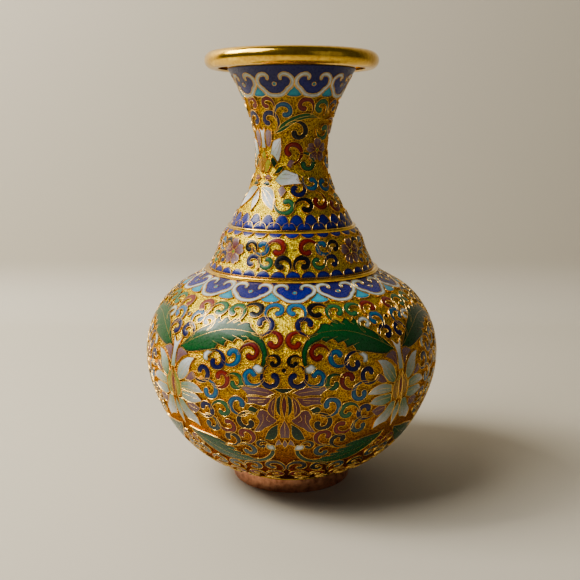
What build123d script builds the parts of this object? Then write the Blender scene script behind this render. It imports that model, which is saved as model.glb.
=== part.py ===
"""A cloisonne vase: raised copper shells, cloison wires and enamel fills, gilt bands and lip.

Frame: origin at the middle of the foot's underside, +Z up. A place on a shell is given by its
zone, a turn in degrees about Z (0 faces -Y, growing towards +X) and a height s in mm measured
along the copper from the zone's lower edge.
"""
import math
import os

from build123d import *

# ---- Driving dimensions, mm ----
WALL = 1.2            # copper sheet
TONGUE = 2.5          # depth of the stepped lap that joins the bowl and the shoulder
LINING = 0.4          # counter enamel inside
ENAMEL = 0.75         # height of a fired enamel fill above the copper
WIRE = 0.45           # thickness of the cloison wire
WIRE_HEIGHT = 0.9     # height of the cloison wire above the copper
CLEAR = 0.03          # gap between an enamel fill and its wire
BAND_RADII = {"neck": 30.0, "shoulder": 40.7}
BAND_HEIGHT = 1.75
FOOT_OUTER, FOOT_INNER, FOOT_HEIGHT = 28.3, 26.2, 7.4
FOOT_WIRE = 0.8
BASE_ENAMEL = 0.5
LIP_CENTRE = (35.6, 196.15)   # middle of the rolled lip's section
LIP_ROLL = 2.65               # radius inside the roll

# ---- Counts and turns, degrees ----
BELLY_TURN, COLLAR_TURN = -2.7, 0.5
SHOULDER_LAPPETS, NECK_LAPPETS = 15, 9
SHOULDER_LAPPET_TURN, NECK_LAPPET_TURN = 1.5, -17.5
NECK_SCALES, COLLAR_UPPER_SCALES, COLLAR_LOWER_SCALES = 26, 27, 36
LOTUS_TURN, FLOWER_TURN = -47.5, 42.5

# ---- Scrolls: colour, turn, s, radius, angle of the tail, hand (+1 = anticlockwise to the head)
BELLY_SCROLLS = [
    ("blue", 4.2, 105.4, 2.8, -40, 1), ("navy", 8.3, 98.6, 2.8, -75, -1),
    ("black", 13.4, 105.0, 2.8, 15, 1), ("green", 21.6, 104.3, 2.7, 230, -1),
    ("green", 29.9, 104.3, 2.6, 10, 1), ("red", 38.6, 104.6, 2.6, 225, -1),
    ("white", 32.6, 97.6, 1.9, 220, -1), ("blue", 38.5, 98.6, 2.5, -55, 1),
    ("navy", 41.2, 92.2, 2.4, 195, -1), ("red", 4.1, 91.7, 2.6, 40, 1),
    ("red", 11.9, 86.6, 2.5, 20, 1), ("blue", 18.7, 84.7, 2.5, -45, -1),
    ("navy", 24.7, 81.9, 2.6, 75, 1), ("black", 3.3, 83.4, 1.7, 45, 1),
    ("navy", 4.3, 76.6, 2.7, 45, -1), ("blue", 11.1, 77.0, 2.5, 215, 1),
    ("green", 16.9, 74.4, 2.2, 60, 1), ("red", 22.4, 75.2, 2.5, -65, -1),
    ("navy", 30.2, 76.4, 2.5, -50, -1), ("blue", 27.0, 69.2, 2.6, 80, 1),
    ("blue", 16.2, 64.6, 2.8, 260, 1), ("green", 22.6, 61.4, 2.6, 25, 1),
    ("navy", 29.6, 60.4, 2.6, -60, -1), ("black", 13.4, 57.0, 2.8, 100, -1),
    ("steel", 28.5, 53.2, 2.5, 95, 1), ("red", 21.4, 53.9, 2.6, 0, -1),
    ("red", 14.9, 49.4, 2.7, 270, -1), ("black", 21.2, 46.6, 2.5, 275, -1),
    ("black", 9.0, 44.6, 1.6, 150, -1), ("steel", 15.2, 40.6, 2.4, 50, 1),
    ("black", 5.6, 29.6, 2.7, 200, -1), ("black", 15.4, 28.4, 2.4, 20, 1),
    ("steel", 25.0, 27.6, 2.3, 200, -1), ("black", 34.6, 27.6, 2.3, 20, 1),
    ("red", 5.6, 20.8, 2.2, 20, 1), ("red", 16.8, 19.8, 2.2, 200, -1),
    ("red", 28.0, 19.6, 2.2, 20, 1), ("red", 39.4, 19.8, 2.2, 200, -1),
    ("navy", 8.4, 12.4, 1.7, 20, 1), ("green", 22.5, 12.4, 1.7, 200, -1),
    ("navy", 36.6, 12.4, 1.7, 20, 1),
]
COLLAR_SCROLLS = [
    ("red", 11.5, 14.6, 2.7, 10, 1), ("blue", 23.2, 14.8, 2.2, -30, -1),
    ("black", 33.0, 14.9, 1.9, 200, -1), ("black", 7.2, 7.9, 2.3, 200, -1),
    ("green", 18.4, 8.3, 2.1, 20, -1), ("navy", 29.2, 8.3, 2.1, 200, -1),
]
NECK_SCROLLS = [
    ("green", -6.5, 12.4, 2.9, 180, 1), ("navy", 7.5, 20.2, 2.3, 60, -1),
    ("black", 15.0, 12.2, 2.5, 160, -1), ("red", 33.0, 14.2, 2.6, 60, -1),
    ("red", 55.0, 12.4, 2.5, 60, -1), ("blue", 28.0, 23.2, 2.2, 170, 1),
    ("blue", 50.0, 22.6, 2.2, 10, -1), ("green", 23.5, 32.4, 2.7, 110, -1),
    ("red", 1.0, 37.4, 2.9, -60, 1), ("black", 9.0, 46.4, 2.8, 120, -1),
    ("navy", -31.0, 51.6, 2.8, -40, 1), ("blue", -9.5, 55.4, 2.6, 195, -1),
    ("red", -30.5, 59.0, 2.0, -20, 1), ("red", 16.5, 58.0, 2.4, -20, 1),
    ("green", 38.5, 57.4, 2.3, -20, 1), ("navy", -59.5, 52.0, 2.6, 220, -1),
    ("red", -53.5, 59.2, 2.0, 200, -1), ("green", 53.0, 46.4, 2.3, 200, 1),
    ("blue", 72.0, 33.0, 2.4, 60, -1), ("red", 70.0, 48.5, 2.4, 110, -1),
    ("green", 68.0, 14.0, 2.2, -30, 1), ("black", 75.5, 22.4, 2.2, 30, -1),
    ("navy", 62.0, 57.8, 2.0, 200, -1), ("black", 81.5, 56.5, 2.1, -20, 1),
]


class Zone:
    """A turned stretch of copper: a chain of tangent arcs in the (radius, z) half plane."""

    def __init__(self, start, heading, stops):
        self.arcs, self.length = [], 0.0
        x, z, angle = *start, math.radians(heading)
        for end_x, end_z in stops:
            chord = math.hypot(end_x - x, end_z - z)
            half = math.atan2(end_z - z, end_x - x) - angle
            half = (half + math.pi) % (2 * math.pi) - math.pi
            length = chord * half / math.sin(half)
            self.arcs.append((self.length, length, x, z, angle, 2 * half))
            self.length += length
            x, z, angle = end_x, end_z, angle + 2 * half

    def at(self, s, lift=0.0):
        """Radius, z and heading at s, lifted off the copper's outer face by lift."""
        first, length, x, z, angle, turn = next(
            (arc for arc in self.arcs if s <= arc[0] + arc[1]), self.arcs[-1])
        radius = length / turn
        heading = angle + turn * (s - first) / length
        x += radius * (math.sin(heading) - math.sin(angle)) + lift * math.sin(heading)
        z += radius * (math.cos(angle) - math.cos(heading)) - lift * math.cos(heading)
        return x, z, heading

    def line(self, s0, s1, lift):
        """The zone's section between s0 and s1 as arcs in the XZ plane."""
        cuts = [s0] + [arc[0] for arc in self.arcs if s0 < arc[0] < s1] + [s1]
        points = [self.at(cut, lift) for cut in cuts]
        middles = [self.at((a + b) / 2, lift) for a, b in zip(cuts, cuts[1:])]
        return [ThreePointArc(*[(p[0], 0, p[1]) for p in three])
                for three in zip(points, middles, points[1:])]

    def wall(self, s0, s1, low, high, sweep=360, heel=None):
        """A turned wall between two lifts. A heel closes the wedge at a crease below it."""
        inner, outer = self.line(s0, s1, low), self.line(s0, s1, high)
        foot = [outer[0] @ 0, inner[0] @ 0]
        if heel:
            foot.insert(1, Vector(heel[0], 0, heel[1]))
        ends = [Line(a, b) for a, b in zip(foot, foot[1:])] + [Line(inner[-1] @ 1, outer[-1] @ 1)]
        return revolve(Face(Wire(inner + outer + ends)), Axis.Z, sweep)

    def tangent(self, turn, s):
        """The plane that touches the copper at a place: x along the turn, y up the shell."""
        radius, z, heading = self.at(s)
        a = math.radians(turn)
        out = (math.sin(heading) * math.sin(a), -math.sin(heading) * math.cos(a),
               -math.cos(heading))
        spot = (radius * math.sin(a), -radius * math.cos(a), z)
        return Plane(origin=spot, x_dir=(math.cos(a), math.sin(a), 0), z_dir=out)

    def fitted(self, turn, s, face, height, reach):
        """A face wrapped on the copper: its prism cut to the skin between the copper and height."""
        low, high = max(0.0, s - reach), min(self.length, s + reach)
        narrow = min(self.at(low)[0], self.at(s)[0], self.at(high)[0])
        sweep = min(150, 2 * math.degrees(reach / narrow))
        skin = Rot(0, 0, turn - 90 - sweep / 2) * self.wall(low, high, 0, height, sweep)
        return (extrude(self.tangent(turn, s) * face, reach, both=True) & skin).solids()

    def chart(self, turn, s, *runs):
        """A face from runs of (turn, s) places, each a smooth line, seen square to one place."""
        plane = self.tangent(turn, s)
        edges = []
        for run in runs:
            spots = [self.tangent(*place).origin for place in run]
            flat = [(spot.X, spot.Y) for spot in map(plane.to_local_coords, spots)]
            edges.append(Spline(*flat) if len(flat) > 2 else Line(*flat))
        return Face(Wire(edges))


BELLY = Zone((28.5, 7.4), 20, [(42.4, 14.7), (57.5, 30.5), (66.5, 50.2), (68.3, 63.3),
                               (61.1, 85.4), (50.0, 95.2), (38.8, 101.5)])
COLLAR = Zone((38.8, 101.5), 115, [(35.9, 107.6), (32.8, 115.8), (28.4, 121.4)])
NECK = Zone((28.4, 121.4), 113, [(21.2, 135.6), (16.2, 155.0), (20.5, 176.4), (28.9, 193.0)])
LIP = Zone(NECK.at(NECK.length)[:2], math.degrees(NECK.at(NECK.length)[2]),
           [(34.2, 198.4), (LIP_CENTRE[0] + LIP_ROLL, LIP_CENTRE[1]),
            (LIP_CENTRE[0], LIP_CENTRE[1] - LIP_ROLL), (34.16, 193.93)])
WAIST = BELLY.arcs[4][0]      # s of the joint at the belly's widest ring

parts = {}


def add(name, *shapes):
    """Puts the solids of some shapes in the node of that name."""
    for shape in shapes:
        parts.setdefault(name, []).extend(shape.solids())


def around(solids, angles):
    """Copies turned about Z."""
    return [Rot(0, 0, angle) * solid for angle in angles for solid in solids]


def fourfold(solids, turn):
    """The solids and their mirror images, four times round, with the mirror line at turn."""
    flipped = [mirror(solid, about=Plane.YZ) for solid in solids]
    return around(list(solids) + flipped, [turn + 90 * quarter for quarter in range(4)])


# ---- Copper shells, joined by stepped laps ----

def shell(name, zone, s0, lapped=False, heel=None):
    """A copper shell from s0 to its zone's end. A lapped one sits on the tongue of the shell below."""
    body = zone.wall(s0, zone.length, -WALL, 0, heel=heel)
    if lapped:
        body -= zone.wall(s0, s0 + TONGUE, -WALL, -WALL / 2)
    add(name, body)


def crease(zone, lift):
    """The end of a zone's section at a lift, where the next zone's wall starts."""
    return zone.at(zone.length, lift)[:2]


def floor_disc(low, high, radius):
    return extrude(Plane.XY.offset(low) * Circle(radius), high - low)


lower_bowl = BELLY.wall(0, WAIST, -WALL, 0) + BELLY.wall(WAIST, WAIST + TONGUE, -WALL, -WALL / 2)
floor_edge = BELLY.at(0, -WALL)
floor_section = Polyline((0, 0, FOOT_HEIGHT), (BELLY.at(0)[0], 0, FOOT_HEIGHT),
                         (floor_edge[0], 0, floor_edge[1]), (0, 0, floor_edge[1]), close=True)
add("lower_bowl_shell", lower_bowl + revolve(make_face(floor_section), Axis.Z))
shell("shoulder_shell", BELLY, WAIST, lapped=True)
shell("collar_shell", COLLAR, 0, heel=crease(BELLY, -WALL))
shell("neck_shell", NECK, 0, heel=crease(COLLAR, -WALL))
add("rolled_lip", LIP.wall(0, LIP.length, -WALL, 0))

# ---- Counter enamel inside, and the base ----
BACK = -WALL - LINING
add("belly_lining", BELLY.wall(3.0, BELLY.length, BACK, -WALL))
add("collar_lining", COLLAR.wall(0, COLLAR.length, BACK, -WALL, heel=crease(BELLY, BACK)))
add("neck_lining", NECK.wall(0, NECK.length - 4, BACK, -WALL, heel=crease(COLLAR, BACK)))
add("base_enamel", floor_disc(FOOT_HEIGHT - BASE_ENAMEL, FOOT_HEIGHT, FOOT_INNER))

# ---- Foot ring, its wire, and the two bands ----
foot = floor_disc(0, FOOT_HEIGHT, FOOT_OUTER) - floor_disc(0, FOOT_HEIGHT, FOOT_INNER)
foot_edges = foot.edges().group_by(Axis.Z)[0]
add("foot_ring", fillet(foot_edges, 0.5))
add("foot_wire", floor_disc(FOOT_HEIGHT - FOOT_WIRE, FOOT_HEIGHT, FOOT_OUTER + FOOT_WIRE)
    - floor_disc(FOOT_HEIGHT - FOOT_WIRE, FOOT_HEIGHT, FOOT_OUTER))


def band(name, radius, crease_point, below, above):
    """A gilt band soldered into the crease between two shells."""
    low = crease_point[1] - 0.5
    ring = floor_disc(low, low + BAND_HEIGHT, radius)
    ring = fillet(ring.edges().filter_by(GeomType.CIRCLE), 0.5)
    ring -= floor_disc(low, low + BAND_HEIGHT, crease_point[0] - WALL / 2)
    for name_of_shell in (below, above):
        ring -= parts[name_of_shell][0]
    add(name, max(ring.solids(), key=lambda solid: solid.volume))


band("shoulder_band", BAND_RADII["shoulder"], crease(BELLY, 0), "shoulder_shell", "collar_shell")
band("neck_band", BAND_RADII["neck"], crease(COLLAR, 0), "collar_shell", "neck_shell")


# ---- Cells: an enamel fill inside its bent wire ----

def plain(sketch):
    """A face whose outline is redrawn with plain splines, corner to corner."""
    edges = sketch.face().outer_wire().order_edges()
    corners = [edge @ 0 for edge in edges]
    steps = range(1, 8)
    return Face(Wire([Spline(start, *[edge @ (step / 8) for step in steps], end)
                      for edge, start, end in zip(edges, corners, corners[1:] + corners[:1])]))


def lay(nodes, zone, turn, s, face, reach, spread):
    """Puts a cell in its nodes, repeated by spread.

    A large cell has a reach, and its fill is fitted to the copper. A small cell has none: its
    fill and its bent wire stand flat on the copper.
    """
    fill = offset(face, -WIRE / 2 - CLEAR)
    if fill.edges().filter_by(GeomType.OFFSET):
        fill = plain(fill)
    if reach:
        add(nodes[0], *spread(zone.fitted(turn, s, fill, ENAMEL, reach)))
        return
    plane = zone.tangent(turn, s)
    wire = offset(face, WIRE / 2) - offset(face, -WIRE / 2)
    add(nodes[0], *spread(extrude(plane * fill, ENAMEL).solids()))
    add(nodes[1], *spread(extrude(plane * wire, WIRE_HEIGHT).solids()))


def disc(x, y, radius):
    return Pos(x, y) * Circle(radius)


def scroll_face(radius, tail, hand):
    """A scroll: a band that tightens from its tail to a round head, drawn with seven arcs."""
    sweep, half = 250, 0.72
    tighten = (1.05, 1.02, 0.95, 0.82, 0.64)
    swell = (0.35, 0.8, 1.0, 0.95, 0.85)

    def spot(step, side):
        a = math.radians(tail + hand * sweep * step / 4)
        reach = radius * tighten[step] + side * half * swell[step]
        return (reach * math.cos(a), reach * math.sin(a))

    outer = [spot(step, 1) for step in range(5)]
    inner = [spot(step, -1) for step in reversed(range(5))]
    tip = math.radians(tail + hand * (sweep + 22))
    cap = (radius * 0.62 * math.cos(tip), radius * 0.62 * math.sin(tip))
    sides = [ThreePointArc(*side[i:i + 3]) for side in (outer, inner) for i in (0, 2)]
    return Face(Wire(sides + [ThreePointArc(outer[-1], cap, inner[0]), Line(inner[-1], outer[0])]))


def blossom(nodes, zone, turn, s, petal_radius, spread):
    """Five round petals about a round heart."""
    ring = petal_radius * 1.9
    for step in range(5):
        a = math.radians(90 + 72 * step)
        petal = disc(ring * math.cos(a), ring * math.sin(a), petal_radius)
        lay((nodes[0], nodes[2]), zone, turn, s, petal, 4 * petal_radius, spread)
    lay((nodes[1], nodes[2]), zone, turn, s, disc(0, 0, 0.75 * petal_radius), petal_radius * 2, spread)


def lappets(prefix, zone, count, turn, s, size):
    """A row of cloud lappets: a white border round a dark field with an eye, and gems between."""
    turns = [turn + step * 360 / count for step in range(count)]
    half_pitch = math.pi * zone.at(s)[0] / count

    def spread(solids):
        return around(solids, [place - turn for place in turns])

    def cloud(grow):
        lobes = [disc(side * 5.5 * size, 1.5 * size, 3.75 * size + grow) for side in (-1, 1)]
        body = disc(0, -0.9 * size, 4.4 * size + grow) + disc(0, -3.4 * size, 2.6 * size + grow)
        return lobes[0] + lobes[1] + body

    notch = Pos(0, 4.4 * size) * Rectangle(3.0 * size, 5.0 * size)
    border = cloud(0) - cloud(-1.75 * size) - notch
    field = cloud(-1.75 * size - WIRE) - disc(0, 0.3 * size, 0.85 + WIRE)
    nodes = {part: f"{prefix}_{part}" for part in ("lappets", "fields", "eyes", "gems", "cloisons")}
    reach = 10.5 * size
    lay((nodes["lappets"], nodes["cloisons"]), zone, turn, s, border.face(), reach, spread)
    add(nodes["fields"], *spread(zone.fitted(turn, s, field, ENAMEL, reach)))
    lay((nodes["eyes"], nodes["cloisons"]), zone, turn, s, disc(0, 0.3 * size, 0.85), None, spread)

    between = turn + 180 / count
    gem = (disc(0, -3.6 * size, 2.0 * size) + disc(0, -1.9 * size, 1.1 * size)
           - Pos(-half_pitch, 0) * cloud(WIRE) - Pos(half_pitch, 0) * cloud(WIRE))
    lay((nodes["gems"], nodes["cloisons"]), zone, between, s, gem.face(), 7, spread)
    corner = (Pos(0, 4.6 * size) * Rectangle(6.4 * size, 2.6 * size)
              - Pos(-half_pitch, 0) * cloud(WIRE) - Pos(half_pitch, 0) * cloud(WIRE))
    add(nodes["fields"], *spread(zone.fitted(between, s, corner, ENAMEL, 8)))


def scales(nodes, zone, count, turn, s, height, second_row=False):
    """A row of round-topped scales, base at s. A negative height points them down."""
    half = math.pi * zone.at(s)[0] / count - WIRE / 2
    arch = Face(Wire([ThreePointArc((-half, 0), (0, height), (half, 0)), Line((half, 0), (-half, 0))]))

    def spread(solids):
        return around(solids, [step * 360 / count for step in range(count)])

    lay(nodes[:2], zone, turn, s, arch, abs(height) + half, spread)
    if second_row:
        edge, step = height + WIRE, half + WIRE / 2
        shield = (disc(0, height, half) + Pos(0, height / 2) * Rectangle(2 * half, height)
                  - Pos(-step, 0) * offset(arch, WIRE) - Pos(step, 0) * offset(arch, WIRE))
        top = max(shield.faces(), key=lambda piece: piece.area)
        lay((nodes[2], nodes[1]), zone, turn + 180 / count, s, top, edge + 2 * half, spread)


# ---- Belly ----

def belly(solids):
    return fourfold(solids, BELLY_TURN)


def belly_centre(solids):
    return around(solids, [BELLY_TURN + 90 * quarter for quarter in range(4)])


BELLY_WIRES = "belly_cloisons"
for colour, turn, s, radius, tail, hand in BELLY_SCROLLS:
    node = "belly_leaf_tips" if colour == "white" else f"belly_scrolls_{colour}"
    lay((node, BELLY_WIRES), BELLY, turn, s, scroll_face(radius, tail, hand), None, belly)

# Cells on one side of a mirror line: node, middle, then the outline's runs of (turn, s) places
BELLY_CELLS = [
    ("belly_upper_leaves", (23, 91),
     [(42.9, 85.2), (39, 89.4), (35, 92.6), (31, 95.2), (28.2, 98.2), (24.5, 99.8), (18, 99.0),
      (12.5, 97.0), (9.4, 94.2), (7.0, 90.6), (5.8, 86.5), (6.4, 82.4)],
     [(6.4, 82.4), (8.2, 82.8)],
     [(8.2, 82.8), (7.9, 86.0), (9.8, 90.0), (14, 92.4), (20, 90.6), (26.5, 88.2), (31, 85.8),
      (37, 84.2), (42.9, 85.2)]),
    ("belly_lower_leaves", (22, 39),
     [(41.7, 47.5), (38, 46.6), (32, 45.0), (26, 43.4), (22.5, 41.0), (20.0, 37.8), (15.0, 35.4),
      (10.5, 36.0), (7.4, 38.6), (5.9, 41.4)],
     [(5.9, 41.4), (4.0, 41.0)],
     [(4.0, 41.0), (5.2, 37.2), (8.6, 33.9), (14, 32.8), (22, 32.2), (30, 33.0), (36, 37.0),
      (40.3, 42.6), (41.7, 47.5)]),
    ("belly_leaf_tips", (8.6, 80.8), [(7.0, 81.2), (8.8, 82.0), (10.2, 80.8)],
     [(10.2, 80.8), (8.8, 79.6), (7.0, 81.2)]),
    ("belly_leaf_tips", (5.4, 43.4), [(3.8, 42.2), (5.0, 44.6), (7.0, 44.2)],
     [(7.0, 44.2), (6.4, 42.2), (3.8, 42.2)]),
    ("belly_lotus_white", (38.5, 76), [(34.4, 81.0), (38.6, 79.6), (41.2, 75.4), (41.6, 70.9)],
     [(41.6, 70.9), (38.8, 73.2), (36.4, 76.8), (34.4, 81.0)]),
    ("belly_lotus_mauve", (42.2, 82), [(40.6, 82.9), (43.4, 83.2)], [(43.4, 83.2), (43.4, 79.0)],
     [(43.4, 79.0), (41.7, 80.6), (40.6, 82.9)]),
    ("belly_lotus_mauve", (36.6, 72.5), [(34.2, 73.4), (35.8, 75.2), (38.0, 72.0)],
     [(38.0, 72.0), (36.6, 71.1), (34.2, 73.4)]),
    ("belly_lotus_white", (35.5, 67.3), [(30.6, 68.2), (34.6, 70.2), (38.9, 70.2)],
     [(38.9, 70.2), (40.0, 65.4)], [(40.0, 65.4), (35.6, 65.2), (30.6, 68.2)]),
    ("belly_lotus_white", (36.6, 62.6), [(32.0, 65.0), (36.0, 63.9), (40.4, 64.0)],
     [(40.4, 64.0), (38.2, 61.6), (32.0, 65.0)]),
    ("belly_lotus_mauve", (35.4, 58.6), [(33.6, 60.0), (36.0, 60.8), (37.8, 58.6)],
     [(37.8, 58.6), (35.6, 56.6), (33.6, 60.0)]),
    ("belly_lotus_white", (39.8, 55), [(36.2, 50.0), (36.4, 54.8), (39.0, 58.4), (43.2, 60.2)],
     [(43.2, 60.2), (43.0, 55.6), (40.6, 51.6), (36.2, 50.0)]),
    ("belly_lotus_hearts", (43, 67), [(44.5, 73.5), (41.9, 70.2), (41.2, 65.4), (43.9, 61.4)],
     [(43.9, 61.4), (43.6, 67.2), (44.5, 73.5)]),
    ("belly_drop_green", (2.0, 64.5), [(1.0, 68.6), (2.6, 67.0), (2.4, 63.0), (1.1, 60.4)],
     [(1.1, 60.4), (1.4, 64.5), (1.0, 68.6)]),
    ("belly_drop_mauve", (4.2, 65.5), [(2.6, 69.2), (5.4, 67.8), (4.8, 64.6), (3.3, 61.6)],
     [(3.3, 61.6), (3.3, 65.0), (2.6, 69.2)]),
    ("belly_drop_mauve", (8, 71), [(4.4, 71.6), (9.0, 72.5), (14.4, 71.5)],
     [(14.4, 71.5), (9.4, 70.2), (4.4, 71.6)]),
    ("belly_drop_mauve", (9, 67), [(6.4, 69.0), (9.4, 69.7), (12.4, 69.2)],
     [(12.4, 69.2), (11.2, 65.6), (8.4, 65.2)], [(8.4, 65.2), (6.7, 66.8), (6.4, 69.0)]),
    ("belly_drop_green", (9.8, 62.4), [(8.4, 63.2), (9.8, 64.4), (11.3, 62.6)],
     [(11.3, 62.6), (10.0, 61.2), (8.4, 63.2)]),
    ("belly_drop_mauve", (6.4, 57), [(2.9, 60.4), (5.4, 62.4), (7.8, 59.6), (8.8, 55.2), (9.8, 51.4)],
     [(9.8, 51.4), (7.2, 54.2), (5.2, 55.4), (2.9, 57.2)], [(2.9, 57.2), (2.9, 60.4)]),
    ("belly_drop_green", (4.6, 51), [(2.3, 55.8), (4.9, 53.8), (6.2, 51.2), (7.0, 48.3)],
     [(7.0, 48.3), (4.4, 48.2), (2.7, 50.8), (2.3, 55.8)]),
]
for node, middle, *runs in BELLY_CELLS:
    reach = 22 if "leaves" in node else 9
    lay((node, BELLY_WIRES), BELLY, *middle, BELLY.chart(*middle, *runs), reach, belly)

# Cells on a mirror line, four times round
CENTRE_CELLS = [
    ("belly_lotus_white", (45, 81), [(43.2, 88.2), (45, 86.6), (46.8, 88.2)],
     [(46.8, 88.2), (45.9, 83.4), (46.2, 75.4)], [(46.2, 75.4), (43.8, 75.4)],
     [(43.8, 75.4), (44.1, 83.4), (43.2, 88.2)]),
    ("belly_lotus_spears", (45, 67.8), [(45, 73.4), (45.7, 68.6), (45, 62.4)],
     [(45, 62.4), (44.3, 68.6), (45, 73.4)]),
    ("belly_lotus_white", (45, 54.5), [(45, 60.2), (46.3, 56.2), (45, 49.6)],
     [(45, 49.6), (43.7, 56.2), (45, 60.2)]),
    ("belly_drop_spears", (0, 64.5), [(0, 69.2), (0.7, 65.2), (0, 59.6)],
     [(0, 59.6), (-0.7, 65.2), (0, 69.2)]),
    ("belly_drop_mauve", (0, 53), [(0, 58.8), (1.3, 54.2), (1.7, 48.8)],
     [(1.7, 48.8), (-1.7, 48.8)], [(-1.7, 48.8), (-1.3, 54.2), (0, 58.8)]),
    ("belly_drop_green", (0, 71.3), [(-3.2, 72.0), (3.2, 72.0)],
     [(3.2, 72.0), (0, 70.4), (-3.2, 72.0)]),
    ("belly_drop_mauve", (0, 45.6), [(0, 48.0), (1.0, 45.6), (0, 43.4)],
     [(0, 43.4), (-1.0, 45.6), (0, 48.0)]),
]
for node, middle, *runs in CENTRE_CELLS:
    lay((node, BELLY_WIRES), BELLY, *middle, BELLY.chart(*middle, *runs), 9, belly_centre)
for turn, s, radius in ((45, 99.2, 1.1), (0, 80.0, 1.0)):
    lay(("belly_scrolls_black", BELLY_WIRES), BELLY, turn, s, disc(0, 0, radius), None, belly_centre)

# ---- Shoulder, collar and neck borders ----
SHOULDER_S, NECK_LAPPET_S = 116.1, 67.6
lappets("shoulder", BELLY, SHOULDER_LAPPETS, SHOULDER_LAPPET_TURN, SHOULDER_S, 1.0)
lappets("neck", NECK, NECK_LAPPETS, NECK_LAPPET_TURN, NECK_LAPPET_S, 0.93)
scales(("neck_scales_lower", "neck_cloisons", "neck_scales_upper"), NECK, NECK_SCALES, -2.5,
       1.3, 3.0, second_row=True)
scales(("collar_scales_upper", "collar_cloisons"), COLLAR, COLLAR_UPPER_SCALES, 0.0,
       COLLAR.length - 0.9, -2.7)
scales(("collar_scales_lower", "collar_cloisons"), COLLAR, COLLAR_LOWER_SCALES, 1.0, 1.6, 2.8)

# ---- Collar: blossoms with mirrored scrolls between them ----
BLOSSOM_TURNS = (-49, 50, 131, 230)


def collar_blossoms(solids):
    return around(solids, [turn - BLOSSOM_TURNS[0] for turn in BLOSSOM_TURNS])


blossom(("collar_blossoms", "collar_blossom_hearts", "collar_cloisons"), COLLAR,
        BLOSSOM_TURNS[0], 12.1, 1.95, collar_blossoms)
DARK = {"navy": "navy", "black": "navy"}


def collar_scrolls(solids):
    return fourfold(solids, COLLAR_TURN)


for colour, turn, s, radius, tail, hand in COLLAR_SCROLLS:
    node = f"collar_scrolls_{DARK.get(colour, colour)}"
    lay((node, "collar_cloisons"), COLLAR, turn, s, scroll_face(radius, tail, hand), None,
        collar_scrolls)

# ---- Neck: the same half pattern on both sides ----

def both_sides(solids):
    return around(solids, (0, 180))


def lotus_sides(solids):
    flipped = [mirror(solid, about=Plane.YZ) for solid in solids]
    return both_sides(around(list(solids) + flipped, [LOTUS_TURN]))


for colour, turn, s, radius, tail, hand in NECK_SCROLLS:
    node = f"neck_scrolls_{DARK.get(colour, colour)}"
    lay((node, "neck_cloisons"), NECK, turn, s, scroll_face(radius, tail, hand), None, both_sides)

LOTUS_SIDE_CELLS = [
    ("neck_lotus_white", (14, 16.5), [(3, 20.6), (14, 20.0), (22, 16.8), (25, 10.8)],
     [(25, 10.8), (16, 13.4), (3, 20.6)]),
    ("neck_leaves", (11, 22.3), [(4, 22.2), (11, 23.6), (18, 22.0)],
     [(18, 22.0), (11, 21.2), (4, 22.2)]),
    ("neck_lotus_pink", (9, 25.6), [(4, 25.4), (9, 26.8), (14, 25.6)],
     [(14, 25.6), (9, 24.6), (4, 25.4)]),
    ("neck_lotus_hearts", (8.5, 30), [(2.4, 28.4), (9.5, 29.2), (14.5, 32.4)],
     [(14.5, 32.4), (8.0, 33.8), (3.0, 32.0)], [(3.0, 32.0), (2.4, 28.4)]),
    ("neck_lotus_pink", (10.5, 43), [(7, 43.6), (10, 46.0), (14, 44.4)],
     [(14, 44.4), (12.4, 41.6), (9.0, 40.8)], [(9.0, 40.8), (7, 43.6)]),
    ("neck_leaves", (17, 35), [(12.5, 35.4), (16, 38.0), (21, 37.4)],
     [(21, 37.4), (18, 33.4), (12.5, 35.4)]),
    ("neck_lotus_white", (21.5, 41), [(17, 40.4), (21, 43.4), (27.5, 42.6)],
     [(27.5, 42.6), (26.5, 38.4), (17, 40.4)]),
]
for node, (turn, s), *runs in LOTUS_SIDE_CELLS:
    face = NECK.chart(turn, s, *runs)
    lay((node, "neck_cloisons"), NECK, turn, s, face, 8, lotus_sides)

NECK_CELLS = [
    ("neck_lotus_white", (LOTUS_TURN, 14.2), [(-47.5, 18.6), (-43.5, 14.6), (-47.5, 10.6)],
     [(-47.5, 10.6), (-51.5, 14.6), (-47.5, 18.6)]),
    ("neck_lotus_hearts", (LOTUS_TURN, 34), [(-47.5, 37.4), (-42.6, 34.6), (-47.5, 30.6)],
     [(-47.5, 30.6), (-52.4, 34.6), (-47.5, 37.4)]),
    ("neck_lotus_white", (LOTUS_TURN, 43), [(-50.8, 47.6), (-44.2, 47.6)],
     [(-44.2, 47.6), (-45.4, 43.0), (-44.8, 39.0)], [(-44.8, 39.0), (-50.2, 39.0)],
     [(-50.2, 39.0), (-49.6, 43.0), (-50.8, 47.6)]),
    ("neck_lotus_white", (-9, 27), [(-18, 26.2), (-9, 29.0), (-1, 28.4)],
     [(-1, 28.4), (-8, 25.0), (-18, 26.2)]),
    ("neck_lotus_pink", (-13, 20.0), [(-16.8, 20.2), (-13.0, 22.6), (-9.2, 20.2)],
     [(-9.2, 20.2), (-13.0, 17.6), (-16.8, 20.2)]),
    ("neck_leaves", (8, 51.2), [(-26, 45.4), (-14, 49.6), (4, 52.8), (22, 54.0), (42, 52.2)],
     [(42, 52.2), (24, 52.2), (6, 50.6), (-12, 46.9), (-26, 45.4)]),
]
for node, (turn, s), *runs in NECK_CELLS:
    reach = 16 if node == "neck_leaves" else 9
    lay((node, "neck_cloisons"), NECK, turn, s, NECK.chart(turn, s, *runs), reach, both_sides)
blossom(("neck_flowers", "neck_lotus_hearts", "neck_cloisons"), NECK, FLOWER_TURN, 38.0, 1.8,
        both_sides)

os.makedirs("parts", exist_ok=True)
for name, solids in parts.items():
    export_step(solids[0] if len(solids) == 1 else Compound(children=solids), f"parts/{name}.step")
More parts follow.
